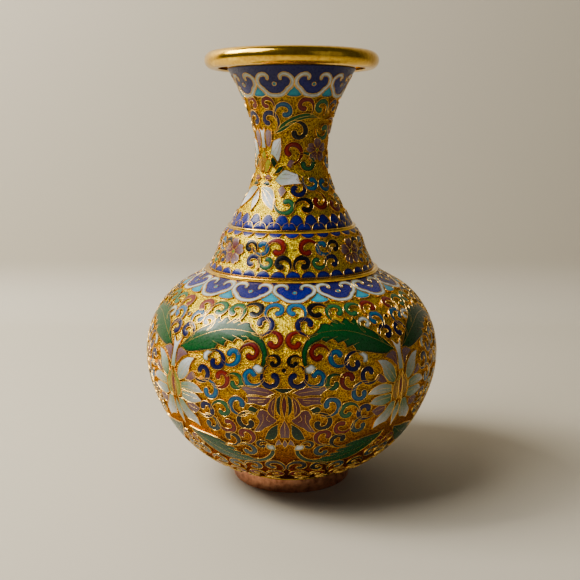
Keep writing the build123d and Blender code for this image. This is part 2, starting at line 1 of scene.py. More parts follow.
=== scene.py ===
"""Looks of the cloisonne vase: turned copper, cloison wires, domed enamel fills and gilding.

The pattern is drawn on the copper's own skin. A place is a zone, a turn in degrees about Z
(0 faces -Y, growing towards +X), a height s in mm along the copper from the zone's lower edge,
and a lift in mm off it. Meshes are scaled to metres when they are made.
"""
import math
import random

import bpy
import numpy as np
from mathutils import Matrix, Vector
from mathutils.geometry import delaunay_2d_cdt


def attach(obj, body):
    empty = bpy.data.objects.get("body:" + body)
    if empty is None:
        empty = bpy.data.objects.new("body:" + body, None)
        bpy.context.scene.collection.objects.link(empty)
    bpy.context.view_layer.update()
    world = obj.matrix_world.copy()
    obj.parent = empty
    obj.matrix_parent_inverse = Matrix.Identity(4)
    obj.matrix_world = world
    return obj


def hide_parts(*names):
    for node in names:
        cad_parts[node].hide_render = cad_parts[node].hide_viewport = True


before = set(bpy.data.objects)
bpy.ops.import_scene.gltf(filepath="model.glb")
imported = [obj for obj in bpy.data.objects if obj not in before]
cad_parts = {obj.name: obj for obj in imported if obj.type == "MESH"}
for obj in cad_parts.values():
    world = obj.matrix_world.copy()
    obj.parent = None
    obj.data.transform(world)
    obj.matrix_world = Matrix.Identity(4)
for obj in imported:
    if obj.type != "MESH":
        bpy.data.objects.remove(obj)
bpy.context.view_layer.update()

rng = random.Random(11)

# ---- Sizes in mm, turns in degrees. The copper's are the CAD's ----
MM = 0.001
WALL = 1.2
LINING = 0.4
WIRE = 0.3             # width of a cloison wire
WIRE_HEIGHT = 0.70     # top of a wire above the copper
ENAMEL_EDGE = 0.56     # top of a fill beside its wire
DOME = 0.13            # rise of a fill from there to its middle
SUNK = -0.05           # fills and wires start just inside the copper
STEP = 0.5             # spacing of points along an outline
FILL_GRID = 0.55       # spacing of points inside a fill
FIELD_SUNK, GEM_SUNK = 0.12, 0.06      # tops of the lappets' fields and gems, below other fills
FOOT_OUTER, FOOT_INNER, FOOT_HEIGHT = 28.3, 26.2, 7.4
BAND_RADII = {"neck": 30.0, "shoulder": 40.7}
BAND_HEIGHT = 1.75
LIP_CENTRE = (35.6, 196.15)
LIP_ROLL = 2.65
BELLY_TURN, COLLAR_TURN = -2.7, 0.5
LOTUS_TURN, FLOWER_TURN = -47.5, 42.5
BLOSSOM_TURNS = (-49, 50, 131, 230)
SCROLL_HALF = 1.22     # half width of a scroll between the middles of its wires
SCROLL_SWEEP = 305     # turn of a scroll from tail to head, degrees


# ---- The turned copper ----

class Zone:
    """A turned stretch of copper: a chain of tangent arcs in the (radius, z) half plane."""

    def __init__(self, start, heading, stops):
        rows, first = [], 0.0
        x, z, angle = *start, math.radians(heading)
        for end_x, end_z in stops:
            chord = math.hypot(end_x - x, end_z - z)
            half = math.atan2(end_z - z, end_x - x) - angle
            half = (half + math.pi) % (2 * math.pi) - math.pi
            length = chord * half / math.sin(half)
            rows.append((first, length, x, z, angle, 2 * half))
            first += length
            x, z, angle = end_x, end_z, angle + 2 * half
        self.rows, self.length, self.end = np.array(rows), first, (x, z, math.degrees(angle))

    def at(self, s, lift=0.0):
        """Radius and z at s, lifted off the copper's outer face."""
        s = np.asarray(s, float)
        arc = np.clip(np.searchsorted(self.rows[:, 0], s, side="right") - 1, 0, len(self.rows) - 1)
        first, length, x, z, angle, turn = np.moveaxis(self.rows[arc], -1, 0)
        radius = length / turn
        heading = angle + turn * (s - first) / length
        out, up = np.sin(heading), np.cos(heading)
        return (x + radius * (out - np.sin(angle)) + lift * out,
                z + radius * (np.cos(angle) - up) - lift * up)

    def points(self, turn, s, lift):
        radius, z = self.at(s, lift)
        a = np.radians(turn)
        return np.stack([radius * np.sin(a), -radius * np.cos(a), z], -1)


BELLY = Zone((28.5, 7.4), 20, [(42.4, 14.7), (57.5, 30.5), (66.5, 50.2), (68.3, 63.3),
                               (61.1, 85.4), (50.0, 95.2), (38.8, 101.5)])
COLLAR = Zone((38.8, 101.5), 115, [(35.9, 107.6), (32.8, 115.8), (28.4, 121.4)])
NECK = Zone((28.4, 121.4), 113, [(21.2, 135.6), (16.2, 155.0), (20.5, 176.4), (28.9, 193.0)])
LIP = Zone(NECK.end[:2], NECK.end[2],
           [(34.2, 198.4), (LIP_CENTRE[0] + LIP_ROLL, LIP_CENTRE[1]),
            (LIP_CENTRE[0], LIP_CENTRE[1] - LIP_ROLL), (34.16, 193.93)])
WAIST = BELLY.rows[4][0]


# ---- Meshes ----

class Piece:
    """A mesh in the making: points in mm, faces, and a shade from 0 to 1 at each point."""

    def __init__(self, slot, replaces=()):
        self.slot, self.replaces = slot, replaces
        self.points, self.faces, self.shades, self.count = [], [], [], 0

    def put(self, points, faces, shade, flip=False):
        for block in faces:
            block = np.asarray(block, int) + self.count
            self.faces.append(block[:, ::-1] if flip else block)
        self.points.append(points)
        self.shades.append(np.broadcast_to(shade, len(points)))
        self.count += len(points)


def make_object(name, piece, material):
    """The finished mesh object, riding on the vase."""
    mesh = bpy.data.meshes.new(name)
    points = np.concatenate(piece.points) * MM
    corners = np.concatenate([block.ravel() for block in piece.faces])
    sizes = np.concatenate([np.full(len(block), block.shape[1]) for block in piece.faces])
    mesh.vertices.add(len(points))
    mesh.vertices.foreach_set("co", points.ravel())
    mesh.loops.add(len(corners))
    mesh.loops.foreach_set("vertex_index", corners)
    mesh.polygons.add(len(sizes))
    mesh.polygons.foreach_set("loop_start", np.concatenate([[0], np.cumsum(sizes)[:-1]]))
    mesh.update(calc_edges=True)
    mesh.validate()
    mesh.shade_smooth()
    mesh.set_sharp_from_angle(angle=math.radians(42))
    shade = mesh.attributes.new("shade", "FLOAT", "POINT")
    shade.data.foreach_set("value", np.concatenate(piece.shades).astype(np.float32))
    mesh.materials.append(material)
    made = bpy.data.objects.new(name, mesh)
    bpy.context.scene.collection.objects.link(made)
    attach(made, "root")
    if piece.replaces:
        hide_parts(*piece.replaces)
    return made


def lathe(section, segments=320):
    """Points and faces of a closed (radius, z) section turned about Z. A point at radius 0 closes."""
    section = np.asarray(section, float)
    turns = np.linspace(0, 2 * np.pi, segments, endpoint=False)
    points = np.stack([np.outer(np.cos(turns), section[:, 0]), np.outer(np.sin(turns), section[:, 0]),
                       np.broadcast_to(section[:, 1], (segments, len(section)))], -1).reshape(-1, 3)
    count = len(section)
    ring, along = np.meshgrid(np.arange(segments), np.arange(count), indexing="ij")
    next_ring, next_along = (ring + 1) % segments, (along + 1) % count
    faces = np.stack([ring * count + along, next_ring * count + along,
                      next_ring * count + next_along, ring * count + next_along], -1)
    return points, [faces.reshape(-1, 4)]


def wall(zone, s0, s1, low, high, spacing=0.8):
    """The closed section of a turned wall between two lifts, anticlockwise."""
    steps = np.linspace(s0, s1, max(2, int((s1 - s0) / spacing) + 1))
    outer, inner = zone.at(steps, high), zone.at(steps[::-1], low)
    return np.concatenate([np.stack(outer, -1), np.stack(inner, -1)])


# ---- Outlines in the skin's own plane, mm ----

def curve(points, spacing=STEP):
    """A smooth line through some points: Catmull-Rom, without its last point."""
    p = np.asarray(points, float)
    if len(p) == 2:
        count = max(1, math.ceil(np.hypot(*(p[1] - p[0])) / spacing))
        return p[0] + (p[1] - p[0]) * np.arange(count)[:, None] / count
    p = np.concatenate([[2 * p[0] - p[1]], p, [2 * p[-1] - p[-2]]])
    line = []
    for a, b, c, d in zip(p, p[1:], p[2:], p[3:]):
        count = max(1, math.ceil(np.hypot(*(c - b)) / spacing))
        t = np.arange(count)[:, None] / count
        line.append(0.5 * (2 * b + (c - a) * t + (2 * a - 5 * b + 4 * c - d) * t ** 2
                           + (3 * b - 3 * c + d - a) * t ** 3))
    return np.concatenate(line)


def wound(outline):
    """The outline in anticlockwise order."""
    x, y = outline.T
    area = np.sum(x * np.roll(y, -1) - y * np.roll(x, -1))
    return outline if area > 0 else outline[::-1]


def sides(line, closed):
    """Unit normals to the right of a line, lengthened at its corners."""
    ahead = np.roll(line, -1, 0) - line
    if not closed:
        ahead[-1] = ahead[-2]
    ahead /= np.maximum(np.hypot(*ahead.T), 1e-9)[:, None]
    behind = np.roll(ahead, 1, 0)
    if not closed:
        behind[0] = ahead[0]
    normal = np.stack([ahead[:, 1] + behind[:, 1], -ahead[:, 0] - behind[:, 0]], -1)
    size = np.maximum(np.hypot(*normal.T), 0.9)[:, None]
    return normal * 2 / size ** 2


def shifted(outline, distance):
    """An anticlockwise outline moved outwards by distance."""
    return outline + sides(outline, True) * distance


def ring(x, y, radius, count=20):
    a = np.linspace(0, 2 * np.pi, count, endpoint=False)
    return np.stack([x + radius * np.cos(a), y + radius * np.sin(a)], -1)


def stroke(line, half):
    """The outline of a thick open line with round ends."""
    half = np.broadcast_to(half, len(line))
    out = sides(line, False)
    right, left = line + out * half[:, None], line - out * half[:, None]
    ends = []
    for last, before in ((-1, -2), (0, 1)):
        away = line[last] - line[before]
        a = math.atan2(away[1], away[0]) - math.pi / 2 + np.linspace(0, math.pi, 7)[1:-1]
        ends.append(line[last] + half[last] * np.stack([np.cos(a), np.sin(a)], -1))
    return wound(np.concatenate([right, ends[0], left[::-1], ends[1]]))


def spiral(radius, tail, hand):
    """A scroll: its band swells from a thin tail and tightens to a round head."""
    t = np.linspace(0, 1, 24)
    a = np.radians(tail + hand * SCROLL_SWEEP * (t - 0.1))
    reach = radius * (1.32 - 0.27 * t - 0.42 * t ** 4 + 0.75 * (1 - t) ** 5)
    line = np.stack([reach * np.cos(a), reach * np.sin(a)], -1)
    swell = np.interp(t, (0, 0.2, 0.45, 0.7, 0.88, 1), (0.24, 0.6, 1.05, 0.88, 1.04, 1.14))
    return stroke(line, SCROLL_HALF * min(1.0, radius / 2.3) * swell)


def in_plane(zone, turn, s, places):
    """Places (turn, s) as x along the turn and y up the shell, from a middle, in mm."""
    places = np.asarray(places, float)
    radius = zone.at(places[:, 1])[0]
    return np.stack([np.radians(places[:, 0] - turn) * radius, places[:, 1] - s], -1)


def charted(zone, turn, s, runs):
    """A closed outline from runs of (turn, s) places: each a smooth line on from the run before it."""
    starts = [run[-1] for run in runs[-1:] + runs[:-1]]
    return wound(np.concatenate([curve(in_plane(zone, turn, s, [start, *run]))
                                 for start, run in zip(starts, runs)]))


# ---- Fills and wires ----

def away_from(outline, points):
    """Distance from points to a closed outline."""
    a, b = outline, np.roll(outline, -1, 0)
    edge = b - a
    share = np.einsum("pek,ek->pe", points[:, None] - a, edge) / np.maximum((edge ** 2).sum(1), 1e-12)
    near = a + np.clip(share, 0, 1)[..., None] * edge
    return np.sqrt(((points[:, None] - near) ** 2).sum(-1)).min(1)


def fill(outline, dome=DOME, sunk=0.0):
    """A domed enamel fill, its top sunk below the usual: points (x, y, lift), faces, depth from its edge."""
    edge = shifted(outline, -0.1)
    low, high = edge.min(0), edge.max(0)
    grid = np.stack(np.meshgrid(np.arange(low[0], high[0], FILL_GRID),
                                np.arange(low[1], high[1], FILL_GRID)), -1).reshape(-1, 2)
    grid[:, 0] += (np.round(grid[:, 1] / FILL_GRID) % 2) * FILL_GRID / 2
    inner = grid[away_from(edge, grid) > 0.5 * FILL_GRID] if len(grid) else grid
    loop = list(range(len(edge)))
    links = [(i, (i + 1) % len(edge)) for i in loop]
    tops = delaunay_2d_cdt([Vector(p) for p in np.concatenate([edge, inner])], links, [loop], 1, 1e-5)
    base = delaunay_2d_cdt([Vector(p) for p in edge], links, [loop], 1, 1e-5)
    top = np.array([tuple(p) for p in tops[0]])
    deep = away_from(edge, top)
    lift = ENAMEL_EDGE + dome * (1 - np.exp(-deep / 0.5))
    bottom = np.array([tuple(p) for p in base[0]])
    count, loops = len(edge), np.arange(len(edge))
    strip = np.stack([loops, (loops + 1) % count, (loops + 1) % count + count, loops + count], -1)
    points = np.concatenate([np.c_[top, lift], np.c_[bottom, np.full(len(bottom), SUNK)],
                             np.c_[edge, np.full(count, SUNK)], np.c_[edge, np.full(count, ENAMEL_EDGE)]])
    points[:, 2] = np.where(points[:, 2] > 0, points[:, 2] - sunk, points[:, 2])
    faces = [np.array(tops[2]), np.array(base[2])[:, ::-1] + len(top), strip + len(top) + len(bottom)]
    return points, faces, np.concatenate([deep, np.zeros(len(bottom) + 2 * count)])


WIRE_SECTION = ((-0.5, SUNK), (-0.5, WIRE_HEIGHT - 0.1), (-0.22, WIRE_HEIGHT), (0.22, WIRE_HEIGHT),
                (0.5, WIRE_HEIGHT - 0.1), (0.5, SUNK))


def wire(line, closed=True, width=WIRE):
    """A bent wire on edge along a line: points (x, y, lift) and faces."""
    out = sides(line, closed)
    rows = [np.c_[line + out * width * share, np.full(len(line), lift)] for share, lift in WIRE_SECTION]
    points = np.stack(rows, 1).reshape(-1, 3)
    across, count = len(WIRE_SECTION), len(line)
    step, row = np.meshgrid(np.arange(count if closed else count - 1), np.arange(across), indexing="ij")
    ahead, beside = (step + 1) % count, (row + 1) % across
    faces = np.stack([step * across + row, step * across + beside,
                      ahead * across + beside, ahead * across + row], -1).reshape(-1, 4)
    if closed:
        return points, [faces]
    first = np.arange(across)[None]
    return points, [faces, first[:, ::-1], first + (count - 1) * across]


pieces = {}


def piece(name, slot, *replaces):
    return pieces.setdefault(name, Piece(slot, replaces))


def draw(target, zone, turn, s, shape, places, shade):
    """Lays a shape (points in the plane, faces) on the skin at each place (turn, hand, shift)."""
    points, faces = shape
    for base, hand, slip, tone in places:
        heights = s + slip + points[:, 1]
        radius = zone.at(heights)[0]
        turns = base + hand * (turn + np.degrees(points[:, 0] / radius))
        target.put(zone.points(turns, heights, points[:, 2]), faces, np.clip(shade + tone, 0, 1), hand < 0)


def jittered(spread, slip=0.1, tone=0.12):
    """Places with the small slips and changes of tone of work laid by hand."""
    return [(base + rng.uniform(-slip, slip), hand, rng.uniform(-slip, slip), rng.uniform(-tone, tone))
            for base, hand in spread]


def cell(target, wires, zone, turn, s, outline, spread, veins=(), heart=None):
    """An enamel fill in its bent wire, with veins of straight wire, at each place of spread.

    The fill's shade grows from its edge inwards, a painted shade that darkens it beside its raised wires, or,
    with a heart, from that point (x, y, reach), the enamel's own colour grading.
    """
    places = jittered(spread)
    points, faces, deep = fill(outline)
    # painted shade: each fill darker at its edge beside the raised wires, lighter in its middle
    shade = 0.2 + 0.6 * np.clip(deep / 0.9, 0, 1)
    if heart:
        far = np.hypot(points[:, 0] - heart[0], points[:, 1] - heart[1])
        shade = np.clip(far / heart[2], 0, 1) ** 1.6
    draw(target, zone, turn, s, (points, faces), places, shade)
    draw(wires, zone, turn, s, wire(outline), places, 0.5)
    for vein in veins:
        line = np.concatenate([curve(vein), [vein[-1]]])
        draw(wires, zone, turn, s, wire(line, closed=False, width=0.8 * WIRE), places, 0.5)


def around(count, turn):
    return [(turn + 360 * step / count, 1) for step in range(count)]


def fourfold(turn):
    return [(turn + 90 * quarter, hand) for quarter in range(4) for hand in (1, -1)]


def quarters(turn):
    return [(turn + 90 * quarter, 1) for quarter in range(4)]


def both_sides():
    return [(0, 1), (180, 1)]


def lotus_sides():
    return [(LOTUS_TURN + half, hand) for half in (0, 180) for hand in (1, -1)]


def scrolls(prefix, zone, rows, spread):
    """Rows of scrolls, one piece for each colour."""
    for colour, turn, s, radius, tail, hand in rows:
        node = f"{prefix}_scrolls_{colour}"
        if colour == "white":
            node = "belly_leaf_tips"
        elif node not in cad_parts:
            node = f"{prefix}_scrolls_navy"
        target = piece(f"fine_{prefix}_scrolls_{colour}", f"enamel_{colour}", node)
        wires = piece(f"fine_{prefix}_wires_{colour}", "gilt_wire", f"{prefix}_cloisons")
        cell(target, wires, zone, turn, s, spiral(radius, tail, hand), spread)


# ---- Scrolls: colour, turn, s, radius, angle of the tail, hand (+1 = anticlockwise to the head)
BELLY_SCROLLS = [
    ("blue", 4.2, 105.4, 2.8, -40, 1), ("navy", 8.3, 98.6, 2.8, -75, -1),
    ("black", 13.4, 105.0, 2.8, 15, 1), ("green", 21.6, 104.3, 2.7, 230, -1),
    ("green", 29.9, 104.3, 2.6, 10, 1), ("red", 38.6, 104.6, 2.6, 225, -1),
    ("white", 32.6, 97.6, 1.9, 220, -1), ("blue", 38.5, 98.6, 2.5, -55, 1),
    ("navy", 41.2, 92.2, 2.4, 195, -1), ("red", 4.1, 91.7, 2.6, 40, 1),
    ("red", 11.9, 86.6, 2.5, 20, 1), ("blue", 18.7, 84.7, 2.5, -45, -1),
    ("navy", 24.7, 81.9, 2.6, 75, 1), ("black", 3.3, 83.4, 1.7, 45, 1),
    ("navy", 4.3, 76.6, 2.7, 45, -1), ("blue", 11.1, 77.0, 2.5, 215, 1),
    ("green", 16.9, 74.4, 2.2, 60, 1), ("red", 22.4, 75.2, 2.5, -65, -1),
    ("navy", 30.2, 76.4, 2.5, -50, -1), ("blue", 27.0, 69.2, 2.6, 80, 1),
    ("blue", 16.2, 64.6, 2.8, 260, 1), ("green", 22.6, 61.4, 2.6, 25, 1),
    ("navy", 29.6, 60.4, 2.6, -60, -1), ("black", 13.4, 57.0, 2.8, 100, -1),
    ("steel", 28.5, 53.2, 2.5, 95, 1), ("red", 21.4, 53.9, 2.6, 0, -1),
    ("red", 14.9, 49.4, 2.7, 270, -1), ("black", 21.2, 46.6, 2.5, 275, -1),
    ("black", 9.0, 44.6, 1.6, 150, -1), ("steel", 15.2, 40.6, 2.4, 50, 1),
    ("black", 5.6, 29.6, 2.7, 200, -1), ("black", 15.4, 28.4, 2.4, 20, 1),
    ("steel", 25.0, 27.6, 2.3, 200, -1), ("black", 34.6, 27.6, 2.3, 20, 1),
    ("steel", 41.5, 33.4, 2.3, 20, 1), ("red", 41.7, 40.4, 1.9, 200, -1),
    ("red", 5.6, 20.8, 2.2, 20, 1), ("red", 16.8, 19.8, 2.2, 200, -1),
    ("red", 28.0, 19.6, 2.2, 20, 1), ("red", 39.4, 19.8, 2.2, 200, -1),
    ("navy", 8.4, 12.4, 1.7, 20, 1), ("green", 22.5, 12.4, 1.7, 200, -1),
    ("navy", 36.6, 12.4, 1.7, 20, 1),
]
COLLAR_SCROLLS = [
    ("red", 11.5, 14.6, 2.7, 10, 1), ("blue", 23.2, 14.8, 2.2, -30, -1),
    ("black", 33.0, 14.9, 1.9, 200, -1), ("black", 7.2, 7.9, 2.3, 200, -1),
    ("green", 18.4, 8.3, 2.1, 20, -1), ("navy", 29.2, 8.3, 2.1, 200, -1),
]
NECK_SCROLLS = [
    ("green", -6.5, 12.4, 2.9, 180, 1), ("navy", 7.5, 20.2, 2.3, 60, -1),
    ("black", 15.0, 12.2, 2.5, 160, -1), ("red", 33.0, 14.2, 2.6, 60, -1),
    ("red", 55.0, 12.4, 2.5, 60, -1), ("blue", 28.0, 23.2, 2.2, 170, 1),
    ("blue", 50.0, 22.6, 2.2, 10, -1), ("green", 23.5, 32.4, 2.7, 110, -1),
    ("red", 1.0, 37.4, 2.9, -60, 1), ("black", 9.0, 46.4, 2.8, 120, -1),
    ("navy", -31.0, 51.6, 2.8, -40, 1), ("blue", -9.5, 55.4, 2.6, 195, -1),
    ("red", -30.5, 59.0, 2.0, -20, 1), ("red", 16.5, 58.0, 2.4, -20, 1),
    ("green", 38.5, 57.4, 2.3, -20, 1), ("navy", -59.5, 52.0, 2.6, 220, -1),
    ("red", -53.5, 59.2, 2.0, 200, -1), ("green", 53.0, 46.4, 2.3, 200, 1),
    ("blue", 72.0, 33.0, 2.4, 60, -1), ("red", 70.0, 48.5, 2.4, 110, -1),
    ("green", 68.0, 14.0, 2.2, -30, 1), ("black", 75.5, 22.4, 2.2, 30, -1),
    ("navy", 62.0, 57.8, 2.0, 200, -1), ("black", 81.5, 56.5, 2.1, -20, 1),
]
scrolls("belly", BELLY, BELLY_SCROLLS, fourfold(BELLY_TURN))
scrolls("collar", COLLAR, COLLAR_SCROLLS, fourfold(COLLAR_TURN))
scrolls("neck", NECK, NECK_SCROLLS, both_sides())

# ---- Leaves: outline in runs of (turn, s) places, then the wires inside ----
UPPER_LEAF = (23, 91), [
    [(39.0, 90.0), (35.4, 93.8), (31.5, 96.6), (29.6, 99.0), (28.2, 101.4)], [(27.4, 99.8), (26.3, 99.0)],
    [(25.6, 100.4), (24.2, 101.2)], [(23.2, 99.9), (22.2, 99.1)], [(21.0, 100.4), (19.0, 100.8)],
    [(18.3, 99.5), (17.2, 98.7)], [(15.6, 99.3), (13.6, 98.9)], [(13.2, 97.4), (11.6, 95.8)],
    [(9.0, 93.6), (6.9, 90.4), (5.9, 86.6), (6.2, 83.2), (7.0, 81.2)], [(8.2, 81.6)], [(7.8, 84.6),
    (8.3, 87.6), (10.4, 90.6), (13.2, 91.9)], [(14.4, 91.4), (15.2, 90.6)], [(15.9, 91.4), (17.4, 92.2)],
    [(18.6, 91.4), (19.4, 90.1)], [(20.2, 90.5), (21.6, 90.9)], [(22.3, 89.6), (22.4, 88.0)],
    [(23.4, 88.4), (25.0, 88.9)], [(25.8, 87.4), (26.0, 85.9)], [(30.0, 85.6), (34.6, 84.3), (39.0, 83.6),
    (42.9, 85.0)]
], [
    [(41.8, 85.7), (38.0, 88.4), (33.5, 91.2), (28.0, 93.9), (23.0, 95.4), (18.0, 95.6), (13.5, 95.1),
    (11.2, 94.2)], [(26.3, 99.0), (27.6, 97.7)], [(22.2, 99.1), (23.6, 98.0)], [(17.2, 98.7),
    (18.8, 97.7)], [(17.4, 92.2), (19.8, 93.1)], [(21.6, 90.9), (24.0, 91.8)], [(25.0, 88.9),
    (27.8, 89.9)], [(13.2, 91.9), (14.2, 93.0), (16.4, 93.1)]
]
LOWER_LEAF = (22, 39), [
    [(38.6, 46.6), (33.0, 46.0), (28.4, 44.9)], [(26.6, 44.2), (24.4, 42.9)], [(25.1, 42.2),
    (25.2, 41.5)], [(23.0, 41.2), (20.6, 40.2)], [(21.8, 39.5), (22.2, 38.7)], [(20.4, 38.6),
    (18.4, 38.0)], [(19.2, 37.3), (19.2, 36.5)], [(17.6, 36.6), (15.8, 36.1)], [(14.4, 35.0),
    (11.4, 34.9), (8.2, 36.8), (6.2, 39.6), (5.6, 42.0)], [(4.0, 41.6)], [(4.6, 38.4), (6.8, 35.0),
    (10.6, 32.9), (16.5, 31.9), (23.5, 31.9), (30.0, 33.6), (36.0, 38.2), (40.4, 43.4), (42.2, 47.6)]
], [
    [(40.8, 46.2), (35.6, 42.4), (30.0, 38.6), (24.0, 35.6), (18.0, 33.8), (12.0, 33.8)], [(28.4, 44.9),
    (30.6, 45.0)], [(25.2, 41.5), (27.8, 42.3)], [(22.2, 38.7), (24.8, 39.6)], [(19.2, 36.5),
    (21.6, 37.2)]
]
BELLY_WIRES = piece("fine_belly_leaf_wires", "gilt_wire", "belly_cloisons")
LEAVES = {"belly_upper_leaves": UPPER_LEAF, "belly_lower_leaves": LOWER_LEAF}
for node, ((turn, s), runs, veins) in LEAVES.items():
    lines = [in_plane(BELLY, turn, s, vein) for vein in veins]
    cell(piece("fine_" + node, "enamel_leaf_green", node), BELLY_WIRES, BELLY, turn, s,
         charted(BELLY, turn, s, runs), fourfold(BELLY_TURN), lines)

# ---- Flower cells beside a mirror line: part, middle, outline runs, veins ----
LOTUS_HEART = (45, 67)
DROP_HEART = (0, 63)
BELLY_REACH, NECK_REACH = 22, 18       # distance from a heart at which a petal is palest
LOTUS_CELLS = [
    ("lotus_white", (38.5, 76), [[(38.0, 81.0), (41.4, 77.8), (42.6, 73.4)], [(41.4, 70.9),
     (38.8, 71.9)], [(36.7, 74.8), (36.0, 78.2), (34.2, 81.6)]], [[(41.7, 72.8), (39.6, 76.4),
     (36.6, 79.9)], [(39.9, 72.2), (38.0, 75.6), (36.7, 78.0)]]),
    ("lotus_mauve", (41.5, 82), [[(41.0, 84.6), (43.3, 83.6)], [(43.5, 77.4)], [(42.0, 78.7),
     (40.4, 80.9), (37.6, 82.4)]], [[(42.6, 79.4), (42.0, 81.6), (40.4, 83.0)]]),
    ("lotus_mauve", (35.6, 73.3), [[(34.6, 75.9), (36.6, 74.3), (38.2, 71.8)], [(35.6, 71.7),
     (32.6, 73.8)]], []),
    ("lotus_white", (35.5, 68.4), [[(32.6, 70.4), (36.4, 71.3), (40.5, 70.1)], [(40.6, 67.0)],
     [(36.6, 66.7), (33.4, 67.0), (29.8, 67.6)]], [[(39.8, 68.6), (36.0, 69.2), (32.4, 68.6)],
     [(39.8, 67.6), (37.0, 67.7), (34.0, 67.8)]]),
    ("lotus_white", (36.6, 64.0), [[(33.8, 66.2), (40.4, 66.3)], [(41.0, 62.9)], [(37.6, 61.5),
     (34.2, 62.0), (30.8, 63.6)]], [[(40.0, 64.8), (36.8, 64.6), (33.2, 64.0)]]),
    ("lotus_mauve", (35.8, 59.2), [[(35.2, 61.5), (39.0, 60.9)], [(38.0, 58.0), (35.4, 56.7),
     (32.4, 59.6)]], [[(37.8, 60.2), (35.8, 59.5), (34.2, 59.2)]]),
    ("lotus_white", (39.8, 56), [[(35.5, 54.6), (38.3, 58.0), (40.8, 62.0), (43.3, 62.2)], [(43.2, 56.4),
     (41.2, 52.2)], [(38.4, 51.6), (35.2, 49.8)]], [[(42.4, 60.6), (40.4, 56.4), (37.4, 52.0)],
     [(42.7, 58.4), (42.0, 55.6), (40.4, 53.0)]]),
    ("lotus_hearts", (43, 68), [[(42.9, 72.2), (41.2, 69.6), (41.4, 64.8), (43.9, 62.4)], [(43.8, 68.2),
     (44.5, 75.6)]], [[(43.4, 64.6), (42.6, 67.6), (43.6, 71.4)]]),
]
DROP_CELLS = [
    ("drop_green", (2.0, 64.5), [[(2.6, 68.0), (2.6, 63.0), (1.1, 60.2)], [(1.4, 64.5), (0.9, 70.2)]],
     []),
    ("drop_mauve", (4.0, 65.5), [[(4.9, 66.6), (5.6, 62.4), (3.4, 59.4)], [(3.2, 64.6), (2.6, 69.9)]],
     [[(3.5, 67.6), (4.2, 64.6), (3.9, 61.6)]]),
    ("drop_mauve", (9, 71), [[(6.0, 72.6), (10.4, 73.4), (16.2, 72.8)], [(13.8, 71.2), (12.6, 69.5)],
     [(9.2, 69.7), (5.8, 69.3), (3.0, 70.9)]], [[(5.2, 70.8), (9.0, 71.4), (13.6, 72.0)]]),
    ("drop_mauve", (9, 67), [[(6.6, 68.7), (9.4, 69.1), (13.0, 68.8)], [(12.5, 67.0), (13.4, 65.4)],
     [(10.4, 65.7), (7.6, 65.0), (5.8, 66.0), (4.0, 69.3)]], [[(6.4, 67.9), (9.2, 67.6), (11.8, 67.4)],
     [(7.0, 66.8), (9.0, 66.6)]]),
    ("drop_green", (10.6, 62.8), [[(11.4, 64.8), (12.9, 63.2)], [(11.2, 60.8), (8.8, 63.4)]], []),
    ("drop_mauve", (7.0, 58), [[(6.2, 62.9), (8.4, 63.0), (9.8, 60.0)], [(9.0, 57.0), (11.6, 51.8)],
     [(8.8, 52.4), (7.0, 54.4)], [(5.0, 55.6), (2.6, 58.4), (4.6, 60.6)]], [[(5.6, 60.8), (6.2, 58.8),
     (5.0, 57.6)], [(7.4, 61.2), (7.6, 57.6), (9.8, 53.4)]]),
    ("drop_green", (4.6, 51.6), [[(4.9, 54.6), (6.4, 52.2), (7.8, 48.2)], [(4.6, 48.0), (2.7, 50.8),
     (2.3, 56.8)]], []),
    ("drop_mauve", (1.8, 46), [[(3.2, 46.6), (3.9, 43.8)], [(2.2, 45.0), (1.1, 45.2), (2.0, 48.4)]], []),
]
# Cells on a mirror line
MIDDLE_CELLS = [
    ("lotus_white", (45, 81), [[(45, 86.4), (47.8, 89.4)], [(46.1, 83.4), (46.2, 75.8)], [(43.8, 75.8)],
     [(43.9, 83.4), (42.2, 89.4)]], []),
    ("lotus_spears", (45, 68.2), [[(45.9, 68.8), (45, 62.4)], [(44.1, 68.8), (45, 74.4)]], []),
    ("lotus_white", (45, 55), [[(46.6, 56.2), (45, 48.2)], [(43.4, 56.2), (45, 61.8)]], []),
    ("drop_spears", (0, 65), [[(0.9, 65.6), (0, 59.0)], [(-0.9, 65.6), (0, 70.4)]], []),
    ("drop_mauve", (0, 53), [[(1.7, 54.2), (1.7, 49.2)], [(-1.7, 49.2)], [(-1.7, 54.2), (0, 58.8)]],
     [[(0, 57.0), (0.1, 53.0), (0, 50.2)]]),
    ("drop_green", (0, 71.8), [[(4.0, 72.9)], [(0, 70.8), (-4.0, 72.9)]], []),
    ("drop_mauve", (0, 45.6), [[(1.0, 45.4), (0, 43.0)], [(-1.0, 45.4), (0, 48.4)]], []),
]
FLOWER_SLOTS = {"white": "enamel_white", "mauve": "enamel_mauve", "hearts": "enamel_yellow_green",
                "spears": "enamel_red", "green": "enamel_leaf_green", "pink": "enamel_mauve",
                "leaves": "enamel_leaf_green"}


def flower_cells(prefix, zone, cells, spread, hearts, reach):
    """Petals, leaves and hearts, shaded by distance from their flower's heart; spears by their depth from the
    edge, a painted shade beside their wires.
    """
    wires = piece(f"fine_{prefix}_flower_wires", "gilt_wire", f"{prefix}_cloisons")
    for part, (turn, s), runs, veins in cells:
        node = f"{prefix}_{part}"
        target = piece("fine_" + node, FLOWER_SLOTS[part.split("_")[-1]], node)
        near = min(hearts, key=lambda place: abs(place[0] - turn))
        heart = None if part.endswith("spears") else (*in_plane(zone, turn, s, [near])[0], reach)
        lines = [in_plane(zone, turn, s, vein) for vein in veins]
        cell(target, wires, zone, turn, s, charted(zone, turn, s, runs), spread, lines, heart)


for cells, spread in ((LOTUS_CELLS + DROP_CELLS, fourfold(BELLY_TURN)), (MIDDLE_CELLS, quarters(BELLY_TURN))):
    flower_cells("belly", BELLY, cells, spread, (LOTUS_HEART, DROP_HEART), BELLY_REACH)

